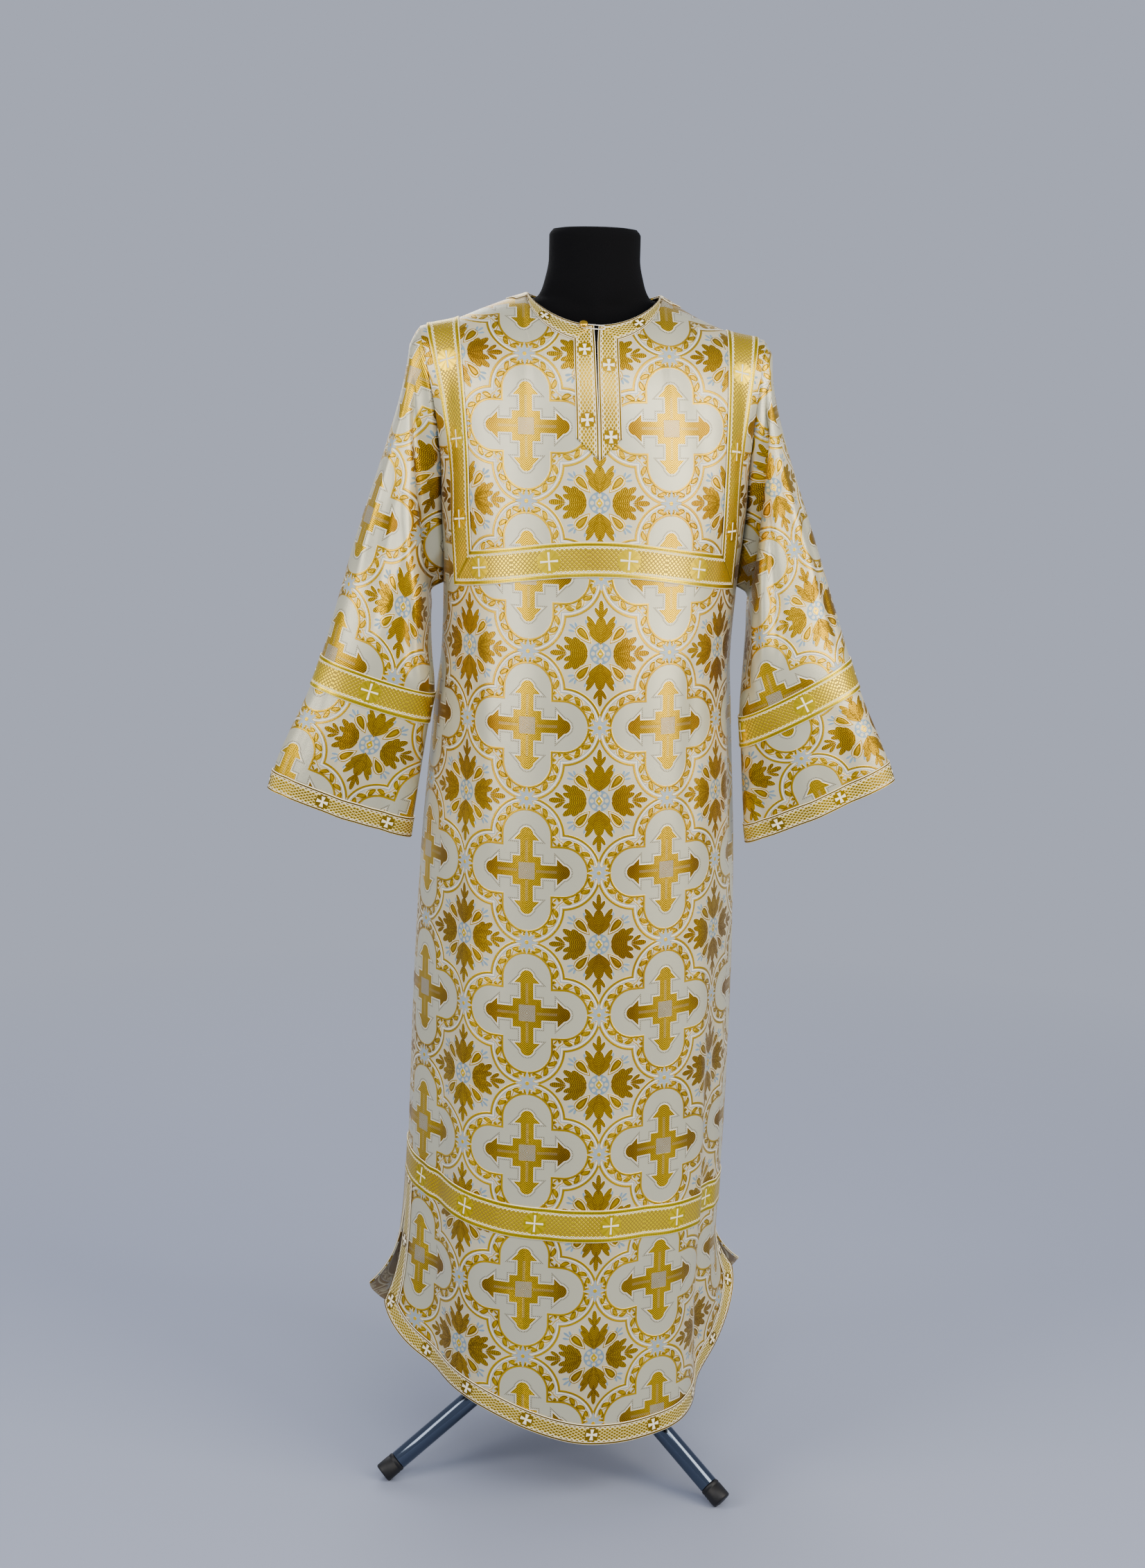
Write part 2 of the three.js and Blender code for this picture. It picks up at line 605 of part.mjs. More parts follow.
// neck trim: mitred at the slit, ending on the shoulder line, and one piece round the back
const inNeckRow = (f) => f.row === 0 && (f.column < NECK_COLUMN
  || (f.column === NECK_COLUMN && f.half === 'upperInner'));
for (const [word, hand] of hands) {
  addTrim(`neck_trim_${word}`, (f) => f.panel === FRONT && f.hand === hand && inNeckRow(f)
    && !(f.column === 0 && isLower(f)));
  addTrim(`slit_trim_${word}`, (f) => f.panel === FRONT && f.hand === hand && f.column === 0
    && ((f.row === 0 && isLower(f)) || (f.row > 0 && f.row < SLIT_ROW)
      || (f.row === SLIT_ROW && f.half === 'upperInner')));
  addTrim(`shoulder_band_${word}`, (f) => f.hand === hand && f.column === BAND_COLUMN
    && (f.row < UNDERARM - 1 || (f.row === UNDERARM - 1 && isUpper(f))));
  addTrim(`sleeve_band_${word}`, (f) => f.sleeve === hand && f.ring === BAND_RING);
  addTrim(`cuff_trim_${word}`, (f) => f.sleeve === hand && f.ring === CUFF_RING);
}
addTrim('neck_trim_back', (f) => f.panel === BACK && inNeckRow(f));

for (const [word, panel] of [['front', FRONT], ['back', BACK]]) {
  addTrim(`chest_band_${word}`, (f) => f.panel === panel && f.row === UNDERARM - 1
    && (f.column < BAND_COLUMN || (f.column === BAND_COLUMN && isLower(f))));
  addTrim(`hem_band_${word}`, (f) => f.panel === panel && f.row === SIDE_SLIT - 1);
  addTrim(`hem_trim_${word}`, (f) => f.panel === panel && f.row === LAST_ROW - 1
    && (f.column < EDGE_COLUMN - 1 || isLower(f)));
  for (const [handWord, hand] of hands) {
    addTrim(`side_slit_trim_${word}_${handWord}`, (f) => f.panel === panel && f.hand === hand
      && f.column === EDGE_COLUMN - 1 && f.row >= SIDE_SLIT
      && (f.row < LAST_ROW - 1 || isUpper(f)));
  }
}

// ---------- button and loop at the neck ----------

// a point and a frame on the trim, placed by its distance from the slit and from the neckline
function trimFrame(hand, out, below) {
  const [corner, foot, side] = [[0, 0], [1, 1], [1, 0]].map(([column, row]) => {
    const id = bodyVertex(FRONT, hand, column, row);
    return points[id].clone().addScaledVector(pieceNormals[id].get(BODY), LIFT + GALLOON_WALL + FACE_GAP);
  });
  const origin = corner.clone()
    .addScaledVector(side.clone().sub(corner), (out - below) / NARROW)
    .addScaledVector(foot.clone().sub(corner), below / NARROW);
  const across = side.clone().sub(corner).multiplyScalar(hand).normalize();
  const outward = across.clone().cross(foot.clone().sub(corner)).normalize();
  if (outward.y > 0) outward.negate();
  const up = outward.clone().cross(across);
  return { origin, matrix: new THREE.Matrix4().makeBasis(across, up, outward) };
}

const seat = trimFrame(-1, -LOOP.to, LOOP.below);
const buttonProfile = [
  [0, 0],
  [BUTTON.shankRadius, 0],
  [BUTTON.shankRadius, BUTTON.shankHeight],
  [BUTTON.headRadius, BUTTON.shankHeight + 0.4],
  [BUTTON.headRadius * 0.93, BUTTON.shankHeight + 0.45 * BUTTON.headHeight],
  [BUTTON.headRadius * 0.62, BUTTON.shankHeight + 0.85 * BUTTON.headHeight],
  [0, BUTTON.shankHeight + BUTTON.headHeight],
].map(([radius, height]) => new THREE.Vector2(radius, height));
const buttonShape = new THREE.LatheGeometry(buttonProfile, 16);
buttonShape.rotateX(Math.PI / 2);
buttonShape.applyMatrix4(seat.matrix);
buttonShape.translate(...seat.origin.toArray());
addMesh('button', buttonShape, giltMetal);

// the loop is a flat ring of thread from the other side of the slit, round the shank
function slot(shape, radius, from, to) {
  shape.absarc(from, 0, radius, -Math.PI / 2, Math.PI / 2, false);
  shape.absarc(to, 0, radius, Math.PI / 2, (3 * Math.PI) / 2, false);
  return shape;
}
const loopSeats = [trimFrame(-1, SLIT_HALF_GAP, LOOP.below), trimFrame(1, SLIT_HALF_GAP, LOOP.below)];
const loopAcross = loopSeats[1].origin.clone().sub(seat.origin).normalize();
const lean = vec(0, 0, 1).applyMatrix4(seat.matrix);
const loopOut = lean.clone().addScaledVector(loopAcross, -lean.dot(loopAcross)).normalize();
const loopUp = loopOut.clone().cross(loopAcross);
const rise = Math.max(...loopSeats.map(({ origin }) => origin.clone().sub(seat.origin).dot(loopOut)));
const loopCentre = seat.origin.clone()
  .addScaledVector(loopAcross, -LOOP.to)
  .addScaledVector(loopOut, Math.max(0, rise));
const loopShape = slot(new THREE.Shape(), LOOP.inner + LOOP.width, LOOP.from, LOOP.to);
loopShape.holes.push(slot(new THREE.Path(), LOOP.inner, LOOP.from, LOOP.to));
const loopSolid = new THREE.ExtrudeGeometry(loopShape, {
  depth: LOOP.thickness, bevelEnabled: false, curveSegments: 6,
});
loopSolid.applyMatrix4(new THREE.Matrix4().makeBasis(loopAcross, loopUp, loopOut));
loopSolid.translate(...loopCentre.toArray());
addMesh('button_loop', loopSolid, thread);

// ---------- dress form ----------

// the half width at which a form's shoulder lies just under the cloth
function seatHalfWidth(side, z) {
  let low = NECK_HALF;
  let high = 200;
  for (let k = 0; k < 30; k += 1) {
    const middle = (low + high) / 2;
    if (shoulder[side](middle) - WALL - SEAT_GAP > z) low = middle;
    else high = middle;
  }
  return low * SHOULDER_SCALE;
}

const seatRows = SEAT_HEIGHTS.map((z) => ({
  z,
  left: Math.min(seatHalfWidth('left', z), FORM.at(-1).left),
  right: Math.min(seatHalfWidth('right', z), FORM.at(-1).right),
  front: 58,
  back: 57,
  pinch: SEAT_PINCH,
}));
const formRows = [...FORM, ...seatRows, ...FORM_NECK];
const formTurn = radians(plan.turn(CHEST_HEIGHT));
const formList = formRows.flatMap((row) => Array.from({ length: FORM_SIDES }, (_, k) => {
  const angle = (2 * Math.PI * k) / FORM_SIDES;
  const pinch = (value) => Math.sign(value) * Math.abs(value) ** (row.pinch ?? 1);
  const x = pinch(Math.cos(angle)) * (Math.cos(angle) < 0 ? row.left : row.right);
  const y = pinch(Math.sin(angle)) * (Math.sin(angle) < 0 ? row.front : row.back);
  return vec(
    SHOULDER_CENTRE + x * Math.cos(formTurn) - y * Math.sin(formTurn),
    x * Math.sin(formTurn) + y * Math.cos(formTurn),
    row.z,
  );
}));
const foot = formList.push(vec(SHOULDER_CENTRE, 0, FORM[0].z)) - 1;
const crown = formList.push(vec(SHOULDER_CENTRE, 0, FORM_TOP)) - 1;
const formTriangles = [];
for (let k = 0; k < FORM_SIDES; k += 1) {
  const next = (k + 1) % FORM_SIDES;
  const top = (formRows.length - 1) * FORM_SIDES;
  formTriangles.push(foot, next, k, crown, top + k, top + next);
  for (let ring = 0; ring < top; ring += FORM_SIDES) {
    const upper = ring + FORM_SIDES;
    formTriangles.push(ring + k, ring + next, upper + next, ring + k, upper + next, upper + k);
  }
}
addMesh('form_torso', geometryFrom(formList, formTriangles), jersey);

// ---------- stand ----------

function addBar(name, radius, from, to, sides, material) {
  const along = to.clone().sub(from);
  const geometry = new THREE.CylinderGeometry(radius, radius, along.length(), sides);
  const turn = new THREE.Quaternion().setFromUnitVectors(vec(0, 1, 0), along.clone().normalize());
  geometry.applyQuaternion(turn);
  geometry.translate(...from.clone().add(to).multiplyScalar(0.5).toArray());
  return name ? addMesh(name, geometry, material) : geometry;
}

const formBottom = FORM[0].z;
const onStand = (z) => vec(STAND.x, STAND.y, z);
addBar('stand_pole', POLE_RADIUS, onStand(HUB.top + FACE_GAP), onStand(formBottom - FACE_GAP), 24, chrome);
addBar('stand_hub', HUB.radius, onStand(HUB.bottom), onStand(HUB.top), 28, chrome);

const wasm = await Module();
wasm.setup();

function toSolid(geometry) {
  const position = geometry.getAttribute('position');
  const seen = new Map();
  const list = [];
  const merged = Array.from({ length: position.count }, (_, k) => {
    const corner = [position.getX(k), position.getY(k), position.getZ(k)];
    const key = corner.map((value) => value.toFixed(4)).join(' ');
    if (!seen.has(key)) {
      seen.set(key, list.length / 3);
      list.push(...corner);
    }
    return seen.get(key);
  });
  const index = [...geometry.getIndex().array].map((k) => merged[k]);
  const triangles = [];
  for (let k = 0; k < index.length; k += 3) {
    const [a, b, c] = index.slice(k, k + 3);
    if (a !== b && b !== c && a !== c) triangles.push(a, b, c);
  }
  return new wasm.Manifold(new wasm.Mesh({
    numProp: 3,
    vertProperties: new Float32Array(list),
    triVerts: new Uint32Array(triangles),
  }));
}

// a plug is cut level where it meets the floor
function cutAtFloor(geometry) {
  const floor = new THREE.BoxGeometry(1000, 1000, 100);
  floor.translate(0, 0, -50);
  const { vertProperties, triVerts } = toSolid(geometry).subtract(toSolid(floor)).getMesh();
  const cut = new THREE.BufferGeometry();
  cut.setAttribute('position', new THREE.Float32BufferAttribute(vertProperties, 3));
  cut.setIndex([...triVerts]);
  cut.computeVertexNormals();
  return cut;
}

const legNames = ['left', 'right', 'back'];
LEG_ANGLES.forEach((degrees, k) => {
  const direction = vec(Math.sin(radians(degrees)), -Math.cos(radians(degrees)), 0);
  const end = onStand(LEG.footHeight).addScaledVector(direction, LEG.reach);
  const slope = Math.atan2(LEG.hubHeight - LEG.footHeight, LEG.reach);
  const along = direction.clone().multiplyScalar(Math.cos(slope)).setZ(-Math.sin(slope));
  const first = (HUB.radius + FACE_GAP + LEG.radius * Math.sin(slope)) / Math.cos(slope);
  const start = onStand(LEG.hubHeight).addScaledVector(along, first);
  const join = end.clone().addScaledVector(along, -CAP.length);
  addBar(`stand_leg_${legNames[k]}`, LEG.radius, start, join, 24, chrome);
  const plug = addBar('', CAP.radius, join.clone().addScaledVector(along, FACE_GAP), end, 24, plastic);
  addMesh(`foot_cap_${legNames[k]}`, cutAtFloor(plug), plastic);
});

// the origin is the middle of the floor area under the whole object
group.updateMatrixWorld(true);
const box = new THREE.Box3().setFromObject(group, true);
const middle = box.getCenter(vec(0, 0, 0));
group.position.set(-middle.x, -middle.y, -box.min.z);

export default group;
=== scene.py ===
# %% [markdown]
# # A brocade sticharion on a dress form
# A sticharion is the long robe of the eastern churches: one straight body, wide sleeves,
# a neck slit with a button, and gold galloon on every edge.
# The frame from the CAD holds all sizes, so this lesson only dresses it. The CAD's own faces
# could be subdivided, but they have no map for a woven pattern and no creases. So each piece of
# cloth is worked out again from the same tables on a finer grid, and gets its finish.

# %% The frame
import json
import math

import bpy
import numpy as np
from mathutils import Matrix, Vector

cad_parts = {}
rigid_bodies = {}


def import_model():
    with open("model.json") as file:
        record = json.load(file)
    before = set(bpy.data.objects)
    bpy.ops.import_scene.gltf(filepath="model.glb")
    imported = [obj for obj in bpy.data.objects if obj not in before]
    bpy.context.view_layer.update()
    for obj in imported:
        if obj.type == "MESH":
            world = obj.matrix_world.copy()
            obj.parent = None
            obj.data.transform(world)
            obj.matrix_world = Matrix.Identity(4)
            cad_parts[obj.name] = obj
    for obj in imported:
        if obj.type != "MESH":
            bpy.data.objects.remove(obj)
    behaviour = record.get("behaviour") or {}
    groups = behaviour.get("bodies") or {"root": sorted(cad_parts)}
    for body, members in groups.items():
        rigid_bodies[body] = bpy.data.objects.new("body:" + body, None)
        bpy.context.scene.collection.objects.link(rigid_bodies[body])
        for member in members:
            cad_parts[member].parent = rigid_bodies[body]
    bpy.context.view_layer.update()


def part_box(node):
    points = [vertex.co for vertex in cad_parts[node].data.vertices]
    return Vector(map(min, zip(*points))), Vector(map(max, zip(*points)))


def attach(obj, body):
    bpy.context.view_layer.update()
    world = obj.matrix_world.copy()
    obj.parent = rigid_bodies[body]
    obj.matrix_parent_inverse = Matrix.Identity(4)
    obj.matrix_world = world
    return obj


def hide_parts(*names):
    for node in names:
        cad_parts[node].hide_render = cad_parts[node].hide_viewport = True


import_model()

# %% [markdown]
# ## Sizes
# All lengths are millimetres. The front faces -Y. s is the distance along the cloth from the
# centre front or centre back, and the row lines run from 0 at the neckline and shoulder to 8 at
# the hem. Measuring the frame's faces would give the same numbers with far more code, so the
# tables are the ones that the solids were cut from.

# %% Sizes of the garment
WALL, GALLOON_WALL, LIFT = 1.2, 1.1, 0.35
WIDE, NARROW = 43, 28
NECK_HALF, NECK_TOP = 86, 1556
FRONT = {"side": -1, "neck_depth": 92, "neck_drop": 39, "neck_slope": 1.1}
BACK = {"side": 1, "neck_depth": 66, "neck_drop": 10, "neck_slope": 0.45}
SHOULDER_CENTRE, SHOULDER_SCALE = -7, 0.972
CHEST_HEIGHT, CHEST_TOP, CHEST_DROP = 1320, 1261, 25
BAND_INNER = 172
BAND_OUTER = BAND_INNER + WIDE - 1
SLIT_END, SLIT_POINT, SLIT_HALF_GAP = 1382, 1357, 3

SHOULDERS = {
    "out": [NECK_HALF, 112, 142, 178, 222, 262],
    "left": [NECK_TOP, 1548, 1537, 1523, 1513, 1490],
    "right": [NECK_TOP, 1542, 1527, 1514, 1505, 1482],
}
PLAN = {
    "z": [60, 300, 482, 640, 826, 1037, 1120, 1200, 1320, 1560],
    "centre": [-22, -24, -18, -15, -12, -9, -6, -3, -1, -7],
    "half": [214, 212, 212, 211, 206, 192, 186, 188, 197, 200],
    "front": [209, 203, 197, 192, 186, 179, 173, 163, 150, 120],
    "back": [202, 195, 187, 180, 170, 155, 148, 140, 131, 110],
    "turn": [13, 13, 12, 10.5, 8.5, 6.6, 5.5, 4.5, 2.3, 2.3],
}
HEM = {
    "across": [-1, -0.78, -0.47, -0.25, 0, 0.14, 0.33, 0.56, 0.8, 1],
    "hem": [226, 180, 153, 127, 108, 105, 110, 128, 182, 250],
    "back_hem": [238, 182, 138, 118, 112, 114, 122, 142, 182, 246],
    "band": [454, 445, 434, 427, 424, 422, 419, 415, 411, 409],
    "back_band": [454, 452, 447, 441, 434, 430, 424, 418, 413, 409],
}

# %% Sizes of the folds, the corners and the armhole
FOLDS = [
    {"panel": FRONT, "at": -238, "width": 34, "depth": -9, "from": 1120, "full": 520},
    {"panel": FRONT, "at": -150, "width": 42, "depth": 5, "from": 900, "full": 300},
    {"panel": FRONT, "at": -30, "width": 60, "depth": 4, "from": 760, "full": 240},
    {"panel": FRONT, "at": 120, "width": 44, "depth": 7, "from": 820, "full": 200},
    {"panel": FRONT, "at": 205, "width": 34, "depth": -12, "from": 980, "full": 180},
    {"panel": BACK, "at": -205, "width": 40, "depth": -9, "from": 1060, "full": 500},
    {"panel": BACK, "at": -120, "width": 44, "depth": 9, "from": 1000, "full": 300},
    {"panel": BACK, "at": -30, "width": 46, "depth": -10, "from": 1120, "full": 420},
    {"panel": BACK, "at": 62, "width": 42, "depth": 8, "from": 980, "full": 260},
    {"panel": BACK, "at": 165, "width": 46, "depth": -11, "from": 1080, "full": 380},
]
CORNERS = {(-1, -1): (27, 0), (-1, 1): (32, -6), (1, -1): (50, 34), (1, 1): (44, 30)}
CORNER_REACH = 62
ARMHOLE = {"line": [0, 1, 1.5, 2, 3], "out": [222, 223, 228, 243, 257]}

# %% Sizes of the sleeves
SLEEVE_LEFT = {
    "along": [0, 0.1, 0.25, 0.45, 0.7, 0.77, 0.95, 1],
    "top_x": [-223, -239, -264, -299, -341, -355, -404, -411],
    "top_z": [1510, 1448, 1364, 1254, 1104, 1064, 953, 927],
    "under_x": [-190, -205, -205, -203, -198, -205, -224, -228],
    "under_z": [1194, 1174, 1146, 1110, 1058, 1018, 894, 867],
    "depth": [52, 58, 67, 60, 46, 42, 33, 31],
    "middle": [-12, -15, -24, -36, -50, -50, -44, -42],
}
SLEEVE_RIGHT = {
    "along": [0, 0.1, 0.25, 0.45, 0.7, 0.77, 0.95, 1],
    "top_x": [209, 219, 240, 276, 328, 342, 384, 393],
    "top_z": [1502, 1452, 1376, 1270, 1113, 1074, 980, 954],
    "under_x": [184, 198, 198, 195, 191, 194, 202, 206],
    "under_z": [1194, 1174, 1146, 1098, 1034, 994, 894, 868],
    "depth": [52, 58, 67, 60, 46, 42, 33, 31],
    "middle": [10, 8, -6, -22, -42, -44, -40, -38],
}
SLEEVES = {-1: SLEEVE_LEFT, 1: SLEEVE_RIGHT}
BAND_ALONG, CUFF_ALONG = (0.7, 0.77), (0.95, 1.0)
BLEND = 0.35
STAND_OFF_OUT, STAND_OFF_REACH = 12, 0.07
SLEEVE_FOLDS = [
    {"round": 0.2, "width": 0.07, "depth": -7, "from": 0.12, "full": 0.35, "gone": 0.7},
    {"round": 0.36, "width": 0.06, "depth": 6, "from": 0.1, "full": 0.3, "gone": 0.75},
    {"round": 0.66, "width": 0.07, "depth": -7, "from": 0.12, "full": 0.35, "gone": 0.8},
]
STAND_X, STAND_Y = -13, -6

# %% [markdown]
# ## From the tables to one surface
# The cloth is one surface. Below the chest each height is an ellipse with folds, turned a little
# about the form; above it, a Bezier curve carries the cloth over the shoulder. Everything is
# computed for whole arrays at once, so a fine grid costs no more lines than a coarse one.

# %% Curves through a table's columns
def through(table, key, name):
    """Smooth curve through one column: a cubic between rows, whose slope at a row is the
    harmonic mean of the slopes on both sides, or level where they differ in sign."""
    x, y = np.array(table[key], float), np.array(table[name], float)
    slope = np.diff(y) / np.diff(x)
    product, total = slope[:-1] * slope[1:], slope[:-1] + slope[1:]
    inner = np.where(product > 0, 2 * product / np.where(total == 0, 1, total), 0)
    tangent = np.concatenate([slope[:1], inner, slope[-1:]])

    def curve(at):
        at = np.clip(at, x[0], x[-1])
        i = np.clip(np.searchsorted(x, at, side="right") - 1, 0, len(x) - 2)
        span = x[i + 1] - x[i]
        t = (at - x[i]) / span
        rise = y[i] + (y[i + 1] - y[i]) * t * t * (3 - 2 * t)
        return rise + span * t * (1 - t) * ((1 - t) * tangent[i] - t * tangent[i + 1])

    return curve


def smooth(x):
    """0 before 0, 1 after 1, and 3x^2 - 2x^3 between."""
    x = np.clip(x, 0, 1)
    return x * x * (3 - 2 * x)


def mix(a, b, t):
    """From a at t = 0 straight to b at t = 1."""
    return a + (b - a) * t


plan = {name: through(PLAN, "z", name) for name in PLAN if name != "z"}
shoulder = {name: through(SHOULDERS, "out", name) for name in ("left", "right")}
hem_line = {name: through(HEM, "across", name) for name in HEM if name != "across"}
armhole = through(ARMHOLE, "line", "out")
print("hem at the centre front:", round(float(hem_line["hem"](0.0))), "mm above the floor")

# %% [markdown]
# ### Lengths along the cloth
# Cloth is cut by length, so a place on it is its distance s along the cloth, not its x. An
# ellipse's arc has no closed formula. A long table of lengths would do, but Simpson's rule and
# Newton's method find the same number in a few lines.

# %% Distance along an ellipse
def arc_length(half, depth, angle):
    """Length of an ellipse's arc from its front to an angle, by Simpson's rule."""
    steps = 12
    total = np.hypot(half, 0) + np.hypot(half * np.cos(angle), depth * np.sin(angle))
    for k in range(1, steps):
        t = angle * k / steps
        total = total + (4 if k % 2 else 2) * np.hypot(half * np.cos(t), depth * np.sin(t))
    return total * angle / (3 * steps)


def angle_at_arc(half, depth, length):
    """The angle at which that arc reaches a length, by Newton's method."""
    angle = length / ((half + depth) / 2)
    for _ in range(5):
        speed = np.hypot(half * np.cos(angle), depth * np.sin(angle))
        angle = angle - (arc_length(half, depth, angle) - length) / speed
    return angle


def depth_at(panel, z):
    """How deep the ellipse of a panel is at a height."""
    return plan["front"](z) if panel is FRONT else plan["back"](z)


def seam_distance(panel, z):
    """Distance along the cloth from the centre to the side seam: a quarter of the ellipse."""
    return arc_length(plan["half"](z), depth_at(panel, z), math.pi / 2)


print("half width round the chest, front:", round(float(seam_distance(FRONT, 1200.0))), "mm")

# %% [markdown]
# ### The body of the robe
# From the chest down the brocade hangs as a tube that is a little wider at the hem. Over the
# shoulders it lies on the form. Joining two such shapes by hand leaves a ridge, so a Bezier
# curve leaves the shoulder level and arrives at the chest along the hanging cloth.

# %% Below the chest and over the shoulders
def turned(centre, x, y, z, degrees):
    """A point turned about an upright axis through (centre, 0)."""
    turn = np.radians(degrees)
    return np.stack([
        centre + x * np.cos(turn) - y * np.sin(turn),
        x * np.sin(turn) + y * np.cos(turn),
        z + 0 * x,
    ], -1)


def hanging_point(panel, s, z):
    """An ellipse at each height, pushed in or out by bell-shaped folds, then turned."""
    half, depth = plan["half"](z), depth_at(panel, z)
    angle = angle_at_arc(half, depth, s)
    out = 0 * s
    for fold in FOLDS:
        if fold["panel"] is panel:
            bell = np.exp(-(((s - fold["at"]) / fold["width"]) ** 2))
            out = out + fold["depth"] * bell * smooth((fold["from"] - z) / (fold["from"] - fold["full"]))
    x = (half + out) * np.sin(angle)
    y = panel["side"] * (depth + out) * np.cos(angle)
    return turned(plan["centre"](z), x, y, z, plan["turn"](z))


def top_point(panel, s):
    """The neckline is a rounded dip between the neck points; beyond them runs the shoulder."""
    out = np.abs(s)
    round_ = np.maximum(0, 1 - (out / NECK_HALF) ** 2)
    slope = np.where(s < 0, shoulder["left"](out), shoulder["right"](out))
    height = np.where(out < NECK_HALF, NECK_TOP - panel["neck_drop"] * round_ ** 0.8, slope)
    y = panel["side"] * panel["neck_depth"] * np.sqrt(round_)
    return turned(SHOULDER_CENTRE, s * SHOULDER_SCALE, y, height, plan["turn"](float(CHEST_HEIGHT)))


def shoulder_curve(panel, s):
    """Four points of a Bezier curve from the top line down to the chest."""
    chest = np.full(s.shape, float(CHEST_HEIGHT))
    start, end = top_point(panel, s), hanging_point(panel, s, chest)
    below = hanging_point(panel, s, chest - 20)
    reach = np.linalg.norm(end - start, axis=-1)[..., None]
    round_ = np.maximum(0, 1 - (s / NECK_HALF) ** 2)
    leave = np.stack([0 * s, 0 * s + panel["side"], -panel["neck_slope"] * np.sqrt(round_)], -1)
    leave /= np.linalg.norm(leave, axis=-1)[..., None]
    arrive = end - below
    arrive /= np.linalg.norm(arrive, axis=-1)[..., None]
    return start, start + leave * 0.3 * reach, end + arrive * 0.5 * reach, end


probe = hanging_point(FRONT, np.array([0.0, 100.0]), np.array([1200.0, 1200.0]))
print("two points of the front at chest height:", probe.round().tolist())

# %% The row lines, the free corners and the whole surface
def line_height(panel, s, line):
    """Height of a row line: 2 chest, 3 and 4 the chest band, 5 and 6 the hem band,
    7 top of the hem trim, 8 hem."""
    if line < 3:
        return np.full(np.shape(s), float(CHEST_HEIGHT))
    across = np.clip(s / seam_distance(panel, 1200.0 if line < 5 else 300.0), -1, 1)
    sink = CHEST_DROP * (1 - np.exp(-((1.83 * across) ** 2)))
    band = hem_line["band" if panel is FRONT else "back_band"](across)
    hem = hem_line["hem" if panel is FRONT else "back_hem"](across)
    return {3: CHEST_TOP - sink, 4: CHEST_TOP - WIDE - sink, 5: band, 6: band - WIDE,
            7: hem + NARROW, 8: hem}[line]


def flick(panel, s, z):
    """The free corners beside the side slits turn outwards, most at the hem."""
    top, hem = line_height(panel, s, 6), line_height(panel, s, 8)
    down = np.clip((top - z) / (top - hem), 0, None) ** 3
    near = np.exp(-(((seam_distance(panel, 300.0) - np.abs(s)) / CORNER_REACH) ** 2))
    left, right = CORNERS[(panel["side"], -1)], CORNERS[(panel["side"], 1)]
    x = np.where(s < 0, -left[0], right[0])
    y = np.where(s < 0, left[1], right[1])
    return np.stack([x, y, 0 * x], -1) * (down * near * (s != 0))[..., None]


def cloth_base(panel, s, row):
    """A point of the cloth from its distance from the centre and its row."""
    s, row = np.broadcast_arrays(np.asarray(s, float), np.asarray(row, float))
    points = np.zeros(s.shape + (3,))
    line_of = np.clip(np.floor(row), 0, 7)
    for line in range(8):
        on = line_of == line
        if not on.any():
            continue
        part, part_row = s[on], row[on]
        if line < 2:
            a, b, c, d = shoulder_curve(panel, part)
            first = NARROW / (3 * np.linalg.norm(b - a, axis=-1))
            t = first * part_row if line == 0 else mix(first, 1, part_row - 1)
            t = t[:, None]
            points[on] = a * (1 - t) ** 3 + 3 * b * t * (1 - t) ** 2 + 3 * c * t * t * (1 - t) + d * t ** 3
        else:
            z = mix(line_height(panel, part, line), line_height(panel, part, line + 1), part_row - line)
            points[on] = hanging_point(panel, part, z) + flick(panel, part, z)
    return points


def row_at_height(height):
    """The row where the centre front passes a height, by halving the interval."""
    low, high = 1.0, 2.0
    for _ in range(30):
        middle = (low + high) / 2
        if cloth_base(FRONT, 0.0, middle)[2] > height:
            low = middle
        else:
            high = middle
    return low


SLIT_ROW, POINT_ROW = row_at_height(SLIT_END), row_at_height(SLIT_POINT)
print("slit ends at row", round(SLIT_ROW, 3), "and its trim at row", round(POINT_ROW, 3))

# %% [markdown]
# ## Creases
# Besides its large folds, hung cloth has softer creases: a drag line from the shoulder, a break
# where a sleeve bends, a ripple above the hem. Each is one row of a table: where it lies, how it
# leans, how wide and deep it is and between which heights. They fade out at the seams, so that
# neighbouring pieces still meet.

